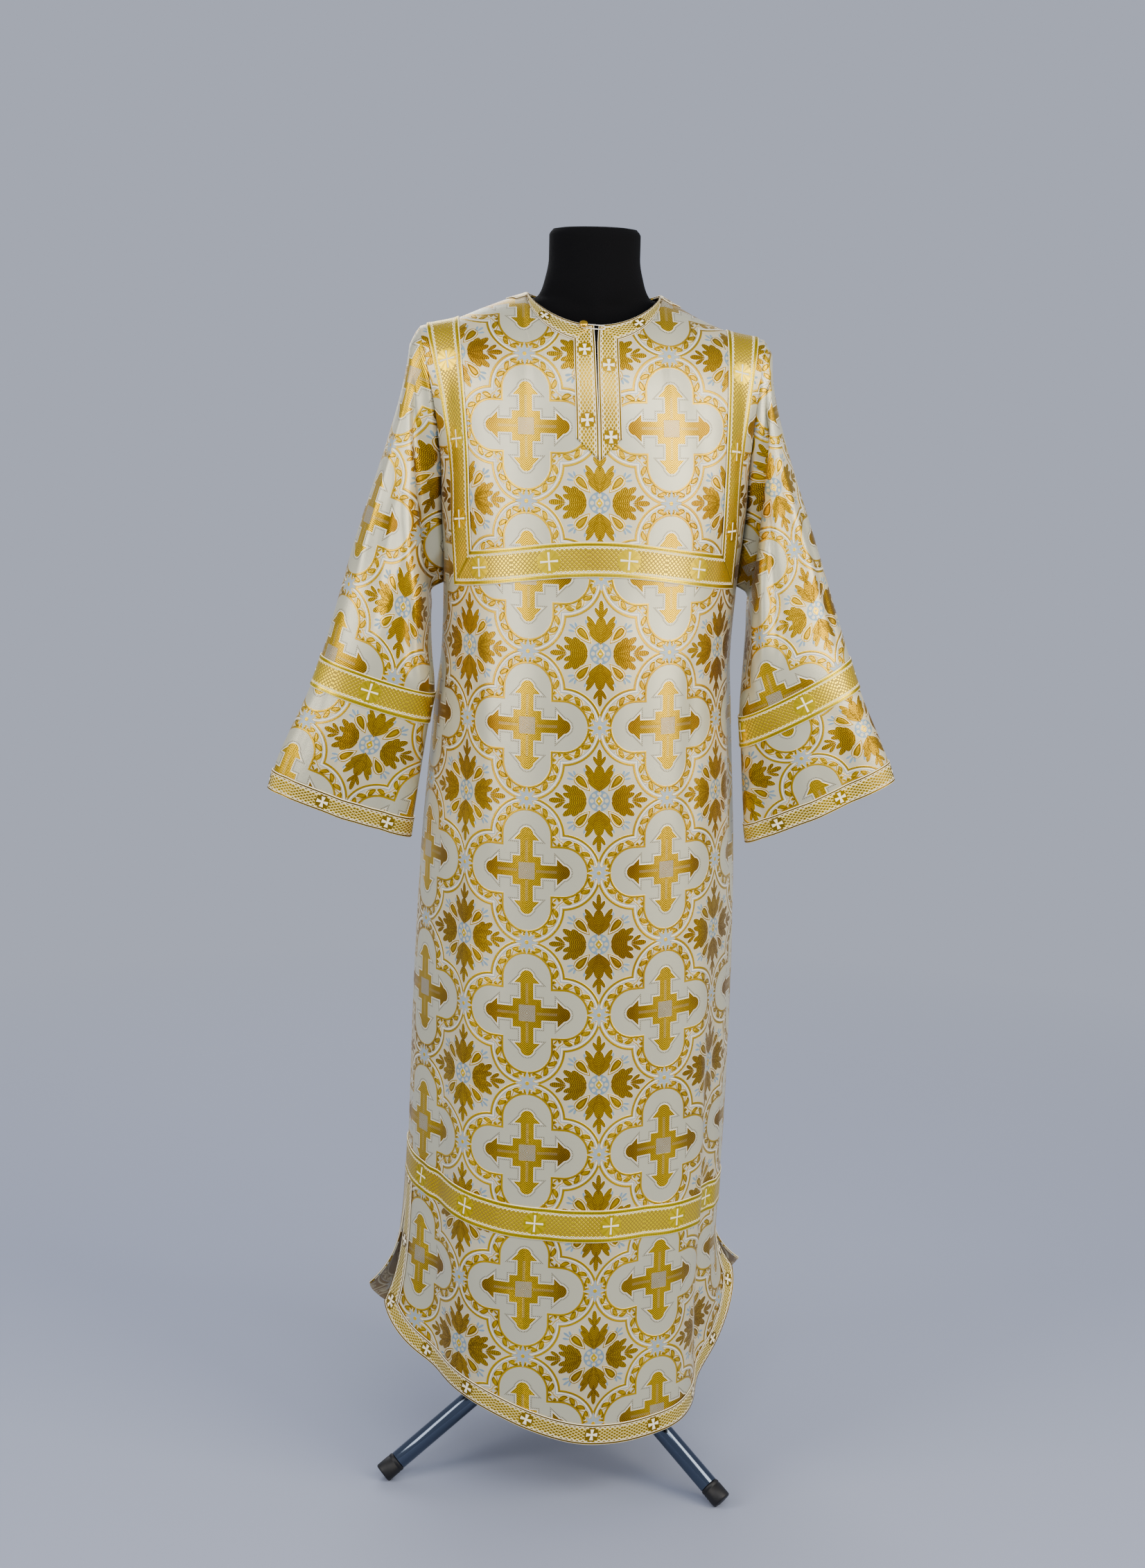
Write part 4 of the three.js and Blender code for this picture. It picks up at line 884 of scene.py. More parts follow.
# %% What lies where
def brocade_layers(tree):
    """What lies where, each from 0 to 1: gold, its painted shade and ribs, grey silk, white silk, beads."""
    k = brocade_chart(tree)
    field, cross = k["field"], k["cross"]
    outside = (BAND_WIDTH - field).within()
    band = field.beyond(0.0) * (1.0 - outside)
    flower = k["rosette"].within().most(k["tuft"].within() * band)
    clear = band * (1.0 - flower)
    in_cross, in_spray = cross.within(), k["spray"].within() * outside
    square = (k["u"] - SQUARE_HALF).within()
    core = (k["v"] - 1.7).within() * k["u"].line(25.0, 13.0)
    vine = k["leaf"].within().most(k["stem"].within() * 0.9) * clear * field.line(6.6, 5.2)
    bud_lining = (k["bud"] + 1.4).within() * (1.0 - (k["bud"] + 2.5).within())
    bud_ring = k["bud"].within() * (1.0 - bud_lining)
    heart = k["heart"].within() * (1.0 - (k["middle"] - 1.4).within())
    border = field.line(1.4, 1.4).most(field.line(16.5, 1.4)) * (1.0 - k["rosette"].within())
    hatch = ((k["a"] + k["b"]) * (1 / 2.2)).math("PINGPONG", 0.5).beyond(0.24)
    gold = in_cross * (1.0 - square * hatch) * (1.0 - core * 0.15)
    gold = gold.most(in_spray, vine, bud_ring * outside, heart * outside, border,
                     (k["ros_r"] - 2.5).within(), k["rosette"].line(-0.2, 0.4),
                     k["tuft"].line(-0.1, 0.1) * band)
    # ribs of the gold weave: a herringbone in the cross, waves in the fan, veins in the leaves
    rib = ((k["u"] + k["v"] * 0.95) * (1 / RIB_PITCH)).math("PINGPONG", 0.5).beyond(0.27)
    bend = (k["e"] * 0.55).math("SINE") * 1.2
    fan = ((k["c"] + bend) * (1 / 2.4)).math("PINGPONG", 0.5).beyond(0.28) * k["side"].within()
    vein = ((k["e"] - k["c"] * 0.85) * (1 / 2.6)).math("PINGPONG", 0.5).beyond(0.36) * k["up"].within()
    ribs = (in_cross * rib * (1.0 - square)).most(
        in_spray * fan.most(vein), k["leaf"].line(-1.3, 0.45) * vine, field.line(2.5, 0.35),
        field.line(15.3, 0.35), k["bud"].line(-4.2, 0.5) * outside,
        k["spray_edge"].line(0.0, 0.35) * in_spray * 0.8)
    # painted shade on the gold: its colour goes towards a shaded tone on the cross's sideways arms,
    # standing in for metal floats turned away from the light; the same share also gives the sprays,
    # the vine, the bud, the square and the border a darker gold
    sideways = (k["b"] - k["a"] + 8.0).within(12.0) * (k["u"] * (1 / 46.0)).least(1.0)
    shade = (in_cross * sideways * 0.8).most(in_spray * 0.62, vine * 0.45, bud_ring * outside * 0.6,
                                            in_cross * square * 0.9, border * 0.45)
    grey = (k["wreath"].within() * outside).most(
        k["sprig"].within() * outside, field.line(12.0, 0.35) * clear,
        k["rosette"].within() * 0.8, k["tuft"].within() * band * 0.5, square * 0.1)
    leaf_line = k["spray_edge"].line(0.0, 0.35) * (k["spray"] - 0.8).within()
    white = (field.line(13.3, 0.8) * clear).most(
        flower, leaf_line * outside, cross.line(0.5, 0.5), bud_lining * outside,
        k["stem"].line(1.3, 0.35) * clear * field.line(6.6, 4.6), k["sprig"].within() * outside)
    check_u = (k["u"] * (math.pi / BEAD)).math("SINE")
    check_v = (k["v"] * (math.pi / BEAD)).math("SINE")
    check = (check_u * check_v).beyond(0.0)
    beads = cross.line(2.6, 0.8) * check
    return k, gold, ribs, shade, grey, white, beads


# %% [markdown]
# ### The cloth itself
# Lurex is a strip of metal foil, so the gold is a metal and turns from bright to brown with the
# light; its colour is also painted from a lit tone towards a shaded one. Silk satin reflects
# softly, as a part metal of middle roughness does, and its reverse
# is the same chart with the floats of the weft covering it, dull and brown.

# %% Brocade as a material
def make_brocade(name, satin, golds, grey_silk, white_silk, metal):
    """satin is (two tones, tone in the quatrefoils) and golds (lit, painted shade, rib). The satin is
    smooth; the gold is ribbed and stands up."""
    material, tree, shader = new_material(name)
    k, gold, ribs, shade, grey, white, beads = brocade_layers(tree)
    cloud = slow_cloud(tree)
    in_field = k["field"].within(2.0) * 0.8
    ground = add_node(tree, MIX, cloud.math("MULTIPLY_ADD", 1.6, -0.3), linear(satin[0]), linear(satin[1]))
    ground = add_node(tree, MIX, in_field, ground, linear(satin[2]))
    silk = add_node(tree, MIX, white * 0.75, ground, linear(white_silk))
    silk = add_node(tree, MIX, grey, silk, linear(grey_silk))
    silk = add_node(tree, MIX, beads * 0.8, silk, linear(golds[2]))
    # painted shade: slow patches push the gold further towards its shade tone, and the gold's colour is
    # mixed from its lit tone to that painted shade tone
    shade = shade + cloud.math("MULTIPLY_ADD", 1.2, -0.6)
    metallic = add_node(tree, MIX, shade, linear(golds[0]), linear(golds[1]))
    metallic = add_node(tree, MIX, ribs * 0.85, metallic, linear(golds[2]))
    twill = ((k["s"] + k["h"] * 0.6) * (2 * math.pi / TWILL_PITCH)).math("SINE") * 0.05
    height = twill + gold * 0.5 - ribs * 0.3 * gold + white * 0.25
    fill(shader, Base_Color=add_node(tree, MIX, gold, silk, metallic),
         Metallic=gold * (metal - SILK_LUSTRE) + SILK_LUSTRE,
         Roughness=0.36 - gold * 0.03 + ribs * 0.12 + white * 0.12, Sheen_Weight=0.08, Sheen_Roughness=0.4,
         Normal=fill(tree.nodes.new(BUMP), Strength=1.0, Distance=RELIEF / 1000, Height=height))
    return material


RELIEF, GALLOON_RELIEF = 0.4, 0.35  # millimetres that the gold weave stands up
# each gold triple is a lit tone, a painted shade tone and the ribs' colour
brocade = make_brocade("silk_brocade_with_gold_lurex", ("d9cfb0", "c4b992", "b9b9a2"),
                       ("f6c808", "94690a", "472f04"), "7f97a6", "f6eeda", 0.95)
brocade_reverse = make_brocade("reverse_of_the_brocade", ("a58a5c", "8f7650", "a08558"),
                               ("d6c69c", "c9b88c", "8a6f42"), "cfc8b8", "a58a5c", 0.3)
print("the brocade is a network of", len(brocade.node_tree.nodes), "nodes")

# %% [markdown]
# ## Galloon weave
# Galloon is woven gold: flat metallic weft over a cotton warp. Between a corded border and a
# row of small teeth lies a trellis of diamonds with a thread between them, broken by a small
# woven cross every 90 mm or so. The narrow one has a cream trellis on olive gold and a broad
# cross between four leaves; the wide one is a bright yellow gold with a slim cross. Modelling
# the threads would take millions of faces, so the weave is a formula of the ribbon's own map:
# x along it from the nearest cross, y across it from its middle.

# %% The two widths of galloon
def make_galloon(name, width, cell, border, pitch, cross, leaf, faces, thread, thread_half):
    """cell is (along, across) of a diamond, cross (reach, half width, flare), faces (lit, painted shade,
    dark) and thread the trellis, whose half width is a share of a cell."""
    material, tree, shader = new_material(name)
    along, across = cloth_fields(tree)
    cloud = slow_cloud(tree)
    y = abs(across - width / 2)
    edge = width / 2 - y
    x = abs(along.math("WRAP", pitch / 2, -pitch / 2))
    inner = border - edge
    inside = inner.within()
    # the trellis: two sets of slanting threads
    across_cells, along_cells = y * (1 / cell[1]), x * (1 / cell[0])
    first = (along_cells + across_cells).math("PINGPONG", 0.5)
    second = (along_cells - across_cells).math("PINGPONG", 0.5)
    trellis = (first.least(second) - thread_half).within(0.05)
    # the woven cross, flared to its ends, in a patch with rays
    reach, half, flare = cross
    bar_x = (y - half - x * flare).most(x - reach)
    bar_y = (x - half - y * flare).most(y - reach)
    woven_cross = bar_x.least(bar_y).within()
    patch = (hypot(x, y) - reach * 1.3).within()
    rays = (x.math("ARCTAN2", y) * 10.0).math("SINE").beyond(0.2)
    leaves = hypot(x - reach * 0.68, y - reach * 0.68) - leaf
    # teeth along the border, and the border's cords
    teeth = (x * (1 / cell[0])).math("PINGPONG", 0.5) * cell[0] * 0.75
    tooth = (edge - border - teeth).line(0.5, 0.5)
    cord = (x * (1 / 1.6)).math("PINGPONG", 0.5).beyond(0.16)
    on_border = (1.0 - inside) * (edge - 0.9).beyond(0.0)
    piping = edge.line(0.5, 0.5)
    cream = (tooth * inside * (1.0 - patch)).most(woven_cross, piping, inner.line(0.0, 0.35))
    trellis_on = trellis * inside * (1.0 - patch) * (edge - border - teeth).beyond(1.0)
    dark = (on_border * (1.0 - cord) * 0.7).most(
        on_border * edge.line(border * 0.55, 0.3), patch * rays * 0.3 * (1.0 - woven_cross),
        leaves.line(0.0, 0.35) * patch * 0.5)
    # painted light and shade: the gold goes from its lit tone to its shade tone in slow patches
    colour = add_node(tree, MIX, cloud.math("MULTIPLY_ADD", 1.8, -0.5), linear(faces[0]), linear(faces[1]))
    colour = add_node(tree, MIX, trellis_on * 0.9, colour, linear(thread))
    colour = add_node(tree, MIX, dark * (1.0 - cream), colour, linear(faces[2]))
    colour = add_node(tree, MIX, cream, colour, linear(CREAM_COTTON))
    height = cream * 0.5 + cord * on_border * 0.4 + (1.0 - trellis_on) * inside * 0.5
    fill(shader, Base_Color=colour, Metallic=(1.0 - cream) * (1.0 - trellis_on * 0.8) * 0.95,
         Roughness=0.33 + dark * 0.2 + cream * 0.25,
         Normal=fill(tree.nodes.new(BUMP), Strength=1.0, Distance=GALLOON_RELIEF / 1000,
                     Height=height))
    return material


CREAM_COTTON = "f8efd0"
galloon_narrow = make_galloon(
    "metallic_galloon_narrow", NARROW, cell=(7.0, 4.4), border=3.4, pitch=88.0,
    cross=(7.4, 0.8, 0.24), leaf=2.3, faces=("c29a06", "7c5c06", "382a02"),
    thread="e4d27c", thread_half=0.13)
galloon_wide = make_galloon(
    "metallic_galloon_wide", WIDE, cell=(5.6, 5.6), border=6.0, pitch=98.0,
    cross=(11.0, 0.7, 0.06), leaf=0.0, faces=("ffe010", "c09800", "504004"),
    thread="7a6010", thread_half=0.15)
print("galloon: narrow", NARROW, "mm and wide", WIDE, "mm")

# %% [markdown]
# ## Jersey, steel, plastic, brass and cord
# These are simpler finishes: a viscose knit of fine wales that drinks the light, chrome plate
# that is nearly a mirror, moulded plastic with a fine grain, gilt brass worn a little on its
# dome, and twisted cotton. Each could have a network of its own, but they differ only in their
# values and in one height formula, so one function makes all five.

# %% Plain finishes
def make_plain(name, base, roughness, metallic, height=None, millimetres=0.1, vary=0.0, **more):
    """Two tones of one colour that change slowly, and a bump where height(x, y, z) is given,
    whose value of 1 stands that many millimetres up. vary is added to the roughness in patches."""
    material, tree, shader = new_material(name)
    cloud = slow_cloud(tree)
    fill(shader, Base_Color=add_node(tree, MIX, cloud, linear(base[0]), linear(base[1])), Metallic=metallic,
         Roughness=cloud * vary + roughness, **more)
    if height is not None:
        bump = fill(tree.nodes.new(BUMP), Strength=1.0, Distance=millimetres / 1000,
                    Height=height(*place_fields(tree)))
        fill(shader, Normal=bump)
    return material


def wales(x, y, z):
    """Fine vertical ribs 1.2 mm apart, crossed by loops every 1.6 mm."""
    ribs = ((x - y) * (2 * math.pi / 1.2)).math("SINE")
    return ribs * ((z * (2 * math.pi / 1.6)).math("SINE") * 0.3 + 0.7)


def grain(x, y, z):
    """A fine moulded grain, as a product of three sine waves."""
    return (x * 2.1).math("SINE") * (y * 2.3).math("SINE") * (z * 1.9).math("SINE")


def twist(x, y, z):
    """Strands of a cord that cross it aslant every 0.8 mm."""
    return ((x + z) * (2 * math.pi / 0.8)).math("SINE")


black_jersey = make_plain(
    "black_viscose_jersey", ("020203", "040406"), roughness=0.9, metallic=0.0,
    height=wales, millimetres=0.12, vary=0.05, Specular_IOR_Level=0.12)
chromed_steel = make_plain(
    "chrome_plated_steel_tube", ("5c6675", "4b5564"), roughness=0.08, metallic=1.0, vary=0.08)
black_plastic = make_plain(
    "moulded_black_plastic", ("0a0a0c", "101012"), roughness=0.45, metallic=0.0,
    height=grain, millimetres=0.05, vary=0.15, Specular_IOR_Level=0.35)
gilt_brass = make_plain(
    "gilt_brass", ("e8b93a", "a87c20"), roughness=0.2, metallic=1.0, vary=0.12)
loop_cotton = make_plain(
    "white_cotton_cord", ("f6f2e8", "e8e2d2"), roughness=0.75, metallic=0.0,
    height=twist, millimetres=0.12, vary=0.1)
print("materials:", len(bpy.data.materials))

# %% [markdown]
# ## Front and back
# Each panel is one width of brocade. Cloth simulation could drape it, but it would let go of the
# sewn lines, so the panel is the surface worked out above, in two halves that meet at the slit.
# Its map is (s, h): h is measured down the cloth from the height where a row of rosettes crosses
# the front, so that the weave hangs on the grain.

# %% The two panels
PATTERN_HEIGHT = 1037  # where a row of rosettes crosses the front
COLUMN_STEPS = np.unique(np.concatenate([np.linspace(k, k + 1, n + 1) for k, n in enumerate(
    [5, 4, 4, 4, 4, 4, 4, 4, 7, 3, 3, 5])]))
ROW_STEPS = np.unique(np.concatenate([np.linspace(k, k + 1, n + 1) for k, n in enumerate(
    [5, 44, 12, 8, 112, 8, 40, 6])] + [[SLIT_ROW]]))


def cloth_map(points, s, rows):
    """(s, h): h is the drop below the rosettes under the chest, and the length up the cloth
    from the chest above it."""
    step = np.linalg.norm(np.diff(points, axis=0), axis=-1)
    up = np.concatenate([np.zeros((1,) + step.shape[1:]), np.cumsum(step, axis=0)])
    chest = int(np.argmin(np.abs(rows - 2)))
    over = (up - up[chest]) + (PATTERN_HEIGHT - CHEST_HEIGHT)
    below = PATTERN_HEIGHT - points[..., 2]
    return np.stack([s, np.where(rows[:, None] < 2, over, below)], -1)


def add_panel(name, node, panel):
    """Both halves of a panel, from the centre out to each side seam, welded at the centre."""
    halves, maps, faces, first = [], [], [], 0
    for hand in (-1, 1):
        columns = COLUMN_STEPS * hand
        c, r = np.meshgrid(columns, ROW_STEPS)
        points, s = cloth(panel, c, r, hand=hand)
        halves.append(points.reshape(-1, 3))
        maps.append(cloth_map(points, s, ROW_STEPS).reshape(-1, 2))
        faces.append(grid_faces(len(ROW_STEPS), len(columns), first, flipped=panel["side"] * hand > 0))
        first += len(halves[-1])
    piece = add_piece(name, np.concatenate(halves), np.concatenate(faces), [brocade, brocade_reverse],
                      node, np.concatenate(maps))
    print(name, len(piece.data.polygons), "faces")
    return thicken(piece, WALL, lining=True)


front_panel = add_panel("front_of_brocade", "front_panel", FRONT)
back_panel = add_panel("back_of_brocade", "back_panel", BACK)

# %% [markdown]
# ## Sleeves in cloth
# A sleeve is cut on the straight grain along its top fold. Its map unrolls the tube: the length
# along the top line, and the distance round from it, with the slope of the rings taken out by
# Pythagoras. An automatic unwrapping would do as well, but not the same way on every sleeve.
# The repeat is then laid over it where the cutter happened to lay it.

# %% The two sleeves
SLEEVE_SIDES = 132
ALONG_STEPS = np.unique(np.concatenate([
    np.linspace(0, 0.1, 10), np.linspace(0.1, 0.7, 52), np.linspace(0.7, 0.77, 7),
    np.linspace(0.77, 0.95, 18), np.linspace(0.95, 1, 6)]))
SLEEVE_MAP = {
    -1: {"across": 44, "down": 120, "turn": -2, "take_up": 1.0},
    1: {"across": 105, "down": 85, "turn": 8, "take_up": 1.1},
}


def sleeve_map(hand, way, points):
    """Distance round from the top line and length along it, turned and shifted to the repeat."""
    top = points[:, 0]
    axis = top[-1] - top[0]
    axis = axis / np.linalg.norm(axis)
    step = np.linalg.norm(np.diff(points, axis=1), axis=-1)
    around = np.concatenate([np.zeros((len(points), 1)), np.cumsum(step, axis=1)], axis=1)
    rise = (points - top[:, None]) @ axis
    across = np.sqrt(np.maximum(around ** 2 - rise ** 2, 0)) * -hand * way
    laid = SLEEVE_MAP[hand]
    turn = math.radians(laid["turn"])
    down = (points - top[0]) @ axis * laid["take_up"]
    u = across * math.cos(turn) - down * math.sin(turn) + laid["across"]
    v = across * math.sin(turn) + down * math.cos(turn) + laid["down"]
    return np.stack([u, v], -1)


def add_sleeve(name, node, hand):
    """Two halves from the top line, down the front and down the back, welded at both lines."""
    halves, maps, faces, first = [], [], [], 0
    for way in (1, -1):
        turns = np.linspace(0, way * math.pi, SLEEVE_SIDES // 2 + 1)
        t, a = np.meshgrid(turns, ALONG_STEPS)
        points = sleeve(hand, a, t)
        halves.append(points.reshape(-1, 3))
        maps.append(sleeve_map(hand, way, points).reshape(-1, 2))
        faces.append(grid_faces(*points.shape[:2], first, flipped=hand * way > 0))
        first += len(halves[-1])
    piece = add_piece(name, np.concatenate(halves), np.concatenate(faces), [brocade, brocade_reverse],
                      node, np.concatenate(maps))
    print(name, len(piece.data.polygons), "faces")
    return thicken(piece, WALL, lining=True)


sleeve_left = add_sleeve("sleeve_of_brocade_left", "sleeve_left", -1)
sleeve_right = add_sleeve("sleeve_of_brocade_right", "sleeve_right", 1)

# %% [markdown]
# ## Galloon
# The trims are woven ribbon, 28 and 43 mm wide, sewn flat on the brocade and mitred at corners.
# A strip could be a curve with a flat profile, but it would cut into the creases. So each is a
# part of the cloth's own surface, lifted: one number runs along it and one across it, and both
# are turned into a column and a row of the cloth under it.

# %% A strip of galloon on the cloth
ACROSS = {
    NARROW: np.array([0, 0.02, 0.05, 0.08, 0.12, 0.16, 0.3, 0.5, 0.7, 0.84, 0.88, 0.92, 0.95, 0.98, 1.0]),
    WIDE: np.array([0, 0.015, 0.04, 0.065, 0.09, 0.115, 0.15, 0.3, 0.5, 0.7, 0.85, 0.885, 0.91, 0.935,
                    0.96, 0.985, 1.0]),
}
# cords of the border: share of the width, spread, rise in millimetres
CORDS = {NARROW: [(0.05, 0.03, 0.35)], WIDE: [(0.04, 0.028, 0.4), (0.09, 0.022, 0.3)]}
STRIP_WALL = 0.9


def galloon_height(width, b):
    """Height over the cloth: flat, with rounded cords along both edges and edges that dip."""
    near = np.minimum(b, 1 - b)
    height = LIFT + GALLOON_WALL + 0 * b
    for at, spread, rise in CORDS[width]:
        height = height + rise * np.exp(-(((near - at) / spread) ** 2))
    return height - 0.45 * np.exp(-((near * width / 0.5) ** 2))


def along_ribbon(points, b):
    """Distance of each point along the ribbon's middle line, from the nearest place on it, so
    that the weave stays square to the ribbon where a mitre cuts its end aslant."""
    middle = points[:, int(np.argmin(np.abs(b - 0.5)))]
    step = np.gradient(middle, axis=0)
    step /= np.linalg.norm(step, axis=1)[:, None]
    length = np.concatenate([[0], np.cumsum(np.linalg.norm(np.diff(middle, axis=0), axis=1))])
    along = np.zeros(points.shape[:2])
    for row in range(len(points)):
        near = np.arange(max(0, row - 12), min(len(points), row + 13))
        away = points[row][:, None] - middle[near][None]
        nearest = np.argmin(np.linalg.norm(away, axis=2), axis=1)
        foot = near[nearest]
        along[row] = length[foot] + np.sum((points[row] - middle[foot]) * step[foot], axis=1)
    return along, float(length[-1])


def add_strip(name, node, width, surface, ring=False, flipped=False, start=0.0, anchor=0.0):
    """surface(b, lift) gives points of the strip for each place across, rows along. A woven
    cross lies -start millimetres beyond the share `anchor` of its length."""
    b = ACROSS[width]
    points = surface(b, galloon_height(width, b))
    along, length = along_ribbon(points, b)
    if ring:
        points[-1] = points[0]
    uv = np.stack(np.broadcast_arrays(along + start - anchor * length, (b * width)[None, :]), -1)
    faces = grid_faces(*points.shape[:2], flipped=flipped)
    material = galloon_narrow if width == NARROW else galloon_wide
    piece = add_piece(name, points, faces, [material], node, uv)
    return thicken(piece, STRIP_WALL), length


# %% [markdown]
# ### Neck and slit
# The narrow galloon runs round the neck and down both sides of the slit. At the top of the slit
# it is mitred, and below its end the two sides meet in a point. Each straight run is a mix of
# two edges, and a fan of rows carries it over the shoulder line.

# %% Trims of the neck and of the slit
def neck_trim(hand):
    """From the mitre at the slit out to the neck point, then over the shoulder line."""
    a = np.linspace(0, 1, 46)[:, None]
    fan = np.linspace(0, 1, 9)[1:, None]

    def surface(b, lift):
        b = b[None, :]
        column = np.concatenate([mix(b, NECK_COLUMN, a), NECK_COLUMN + b * fan])
        row = np.concatenate([b + 0 * a, b * (1 - fan)])
        return cloth(FRONT, column * hand, row, lift + 0 * column, hand=hand)[0]

    return surface


def neck_trim_back(b, lift):
    """From one shoulder line to the other round the back of the neck."""
    fan = np.linspace(0, 1, 9)[:, None]
    b = b[None, :]
    run = np.linspace(-NECK_COLUMN, NECK_COLUMN, 60)[1:-1, None]
    column = np.concatenate([-(NECK_COLUMN + b * (1 - fan)), run + 0 * b, NECK_COLUMN + b * fan])
    row = np.concatenate([b * fan, b + 0 * run, b * (1 - fan)])
    return cloth(BACK, column, row, lift + 0 * column)[0]


def slit_trim(hand):
    """Mitred at the neckline, and cut to a point below the end of the slit."""
    def surface(b, lift):
        a = np.linspace(0, 1, 70)[:, None]
        row = mix(b[None, :], mix(POINT_ROW, SLIT_ROW, b[None, :]), a)
        column = b[None, :] + 0 * row
        return cloth(FRONT, column * hand, row, lift + 0 * column, hand=hand)[0]

    return surface


TRIM_LENGTHS = {}
HANDS = (("left", -1), ("right", 1))
trims = {}
for word, hand in HANDS:
    trims["neck_" + word], TRIM_LENGTHS["neck_" + word] = add_strip(
        f"galloon_neck_{word}", f"neck_trim_{word}", NARROW, neck_trim(hand), flipped=hand > 0,
        start=-45 if hand > 0 else -60)
    trims["slit_" + word], TRIM_LENGTHS["slit_" + word] = add_strip(
        f"galloon_slit_{word}", f"slit_trim_{word}", NARROW, slit_trim(hand), flipped=hand < 0,
        start=-24 if hand < 0 else -44)
trims["neck_back"], TRIM_LENGTHS["neck_back"] = add_strip(
    "galloon_neck_back", "neck_trim_back", NARROW, neck_trim_back)

# %% [markdown]
# ### Yoke
# The wide galloon frames the shoulders: two bands come over them, and a band round the chest
# joins them at mitred corners, front and back. A column fixes a shoulder band's place, so it
# stays on the straight grain.

# %% Bands over the shoulders and round the chest
def shoulder_band(hand):
    """Up the back from the chest band's mitre, over the shoulder, and down the front."""
    def surface(b, lift):
        b = b[None, :]
        back = mix(3 + b, 0, np.linspace(0, 1, 60)[:, None])
        front = mix(0, 3 + b, np.linspace(0, 1, 60)[1:, None])
        column = (BAND_COLUMN + b) * hand
        up, _ = cloth(BACK, column + 0 * back, back, lift + 0 * back)
        down, _ = cloth(FRONT, column + 0 * front, front, lift + 0 * front)
        return np.concatenate([up, down])

    return surface


def chest_band(panel):
    """Across a panel between its shoulder bands, longer at its lower edge for the mitre."""
    def surface(b, lift):
        a = np.linspace(-1, 1, 130)[:, None]
        column = a * (BAND_COLUMN + b[None, :])
        return cloth(panel, column, 3 + b[None, :] + 0 * column, lift + 0 * column)[0]

    return surface


for word, hand in HANDS:
    trims["shoulder_" + word], TRIM_LENGTHS["shoulder_" + word] = add_strip(
        f"galloon_shoulder_{word}", f"shoulder_band_{word}", WIDE, shoulder_band(hand), flipped=hand < 0,
        start=-78, anchor=0.5)
for word, panel in (("front", FRONT), ("back", BACK)):
    trims["chest_" + word], TRIM_LENGTHS["chest_" + word] = add_strip(
        f"galloon_chest_{word}", f"chest_band_{word}", WIDE, chest_band(panel), flipped=panel is FRONT,
        start=-34, anchor=0.5)

# %% [markdown]
# ### Hem
# A wide band lies some way above the hem, a narrow trim edges it, and the side slits are edged
# by short trims that stop under the band. The row lines already follow the hem's dip, so a strip
# between two of them needs no shape of its own.

# %% Bands and trims of the hem and of the side slits
def hem_strip(panel, line, reach):
    """A strip between two row lines; reach is its half length in columns at each edge."""
    def surface(b, lift):
        a = np.linspace(-1, 1, 190)[:, None]
        column = a * (reach[0] + (reach[1] - reach[0]) * b[None, :])
        return cloth(panel, column, line + b[None, :] + 0 * column, lift + 0 * column)[0]

    return surface


def side_strip(panel, hand):
    """Down the edge of a side slit, from under the hem band to the mitre at the hem."""
    def surface(b, lift):
        row = mix(6.0, 7 + b[None, :], np.linspace(0, 1, 70)[:, None])
        column = (EDGE_COLUMN - 1 + b[None, :]) * hand
        return cloth(panel, column + 0 * row, row, lift + 0 * row)[0]

    return surface


for word, panel in (("front", FRONT), ("back", BACK)):
    back = panel is BACK
    trims["hem_band_" + word], TRIM_LENGTHS["hem_band_" + word] = add_strip(
        f"galloon_hem_band_{word}", f"hem_band_{word}", WIDE,
        hem_strip(panel, 5, (EDGE_COLUMN, EDGE_COLUMN)), flipped=not back, start=-17, anchor=0.5)
    trims["hem_" + word], TRIM_LENGTHS["hem_" + word] = add_strip(
        f"galloon_hem_{word}", f"hem_trim_{word}", NARROW,
        hem_strip(panel, 7, (EDGE_COLUMN - 1, EDGE_COLUMN)), flipped=not back)
    for hand_word, hand in HANDS:
        trims[f"side_{word}_{hand_word}"], TRIM_LENGTHS[f"side_{word}_{hand_word}"] = add_strip(
            f"galloon_side_{word}_{hand_word}", f"side_slit_trim_{word}_{hand_word}", NARROW,
            side_strip(panel, hand), flipped=(hand < 0) != back)

# %% [markdown]
# ### Sleeve bands
# Each sleeve has a wide band under the elbow and a narrow trim at the cuff. Both are closed
# rings, so their last row is laid exactly on the first before the points are welded.

# %% Bands and trims of the sleeves
def sleeve_strip(hand, span):
    """A tube of galloon between two rings of the sleeve."""
    def surface(b, lift):
        turns = np.linspace(0, 2 * math.pi, 150)[:, None]
        along = mix(span[0], span[1], b[None, :]) + 0 * turns
        return sleeve(hand, along, turns + 0 * along, lift + 0 * along)

    return surface


for word, hand in HANDS:
    trims["sleeve_" + word], TRIM_LENGTHS["sleeve_" + word] = add_strip(
        f"galloon_sleeve_{word}", f"sleeve_band_{word}", WIDE, sleeve_strip(hand, BAND_ALONG), ring=True,
        flipped=hand < 0)
    trims["cuff_" + word], TRIM_LENGTHS["cuff_" + word] = add_strip(
        f"galloon_cuff_{word}", f"cuff_trim_{word}", NARROW, sleeve_strip(hand, CUFF_ALONG), ring=True,
        flipped=hand < 0)
print("galloon in all:", round(sum(TRIM_LENGTHS.values()) / 1000, 2), "m in", len(trims), "pieces")

# %% [markdown]
# ## Button and loop
# The slit closes with one small domed gilt button on the left trim and a loop of white cord from
# the right. The button could be a squashed sphere, but a turned profile also gives its shank and
# the rim that the loop catches on. The loop is a thin round cord carried along a path shaped
# like a slot, round the button's shank and down over the edge of the trim.

# %% Where they sit
BUTTON_SEAT, LOOP_BELOW, LOOP_FROM, LOOP_RADIUS = 14, 6, 9, 3.0
FACE_GAP = 0.3


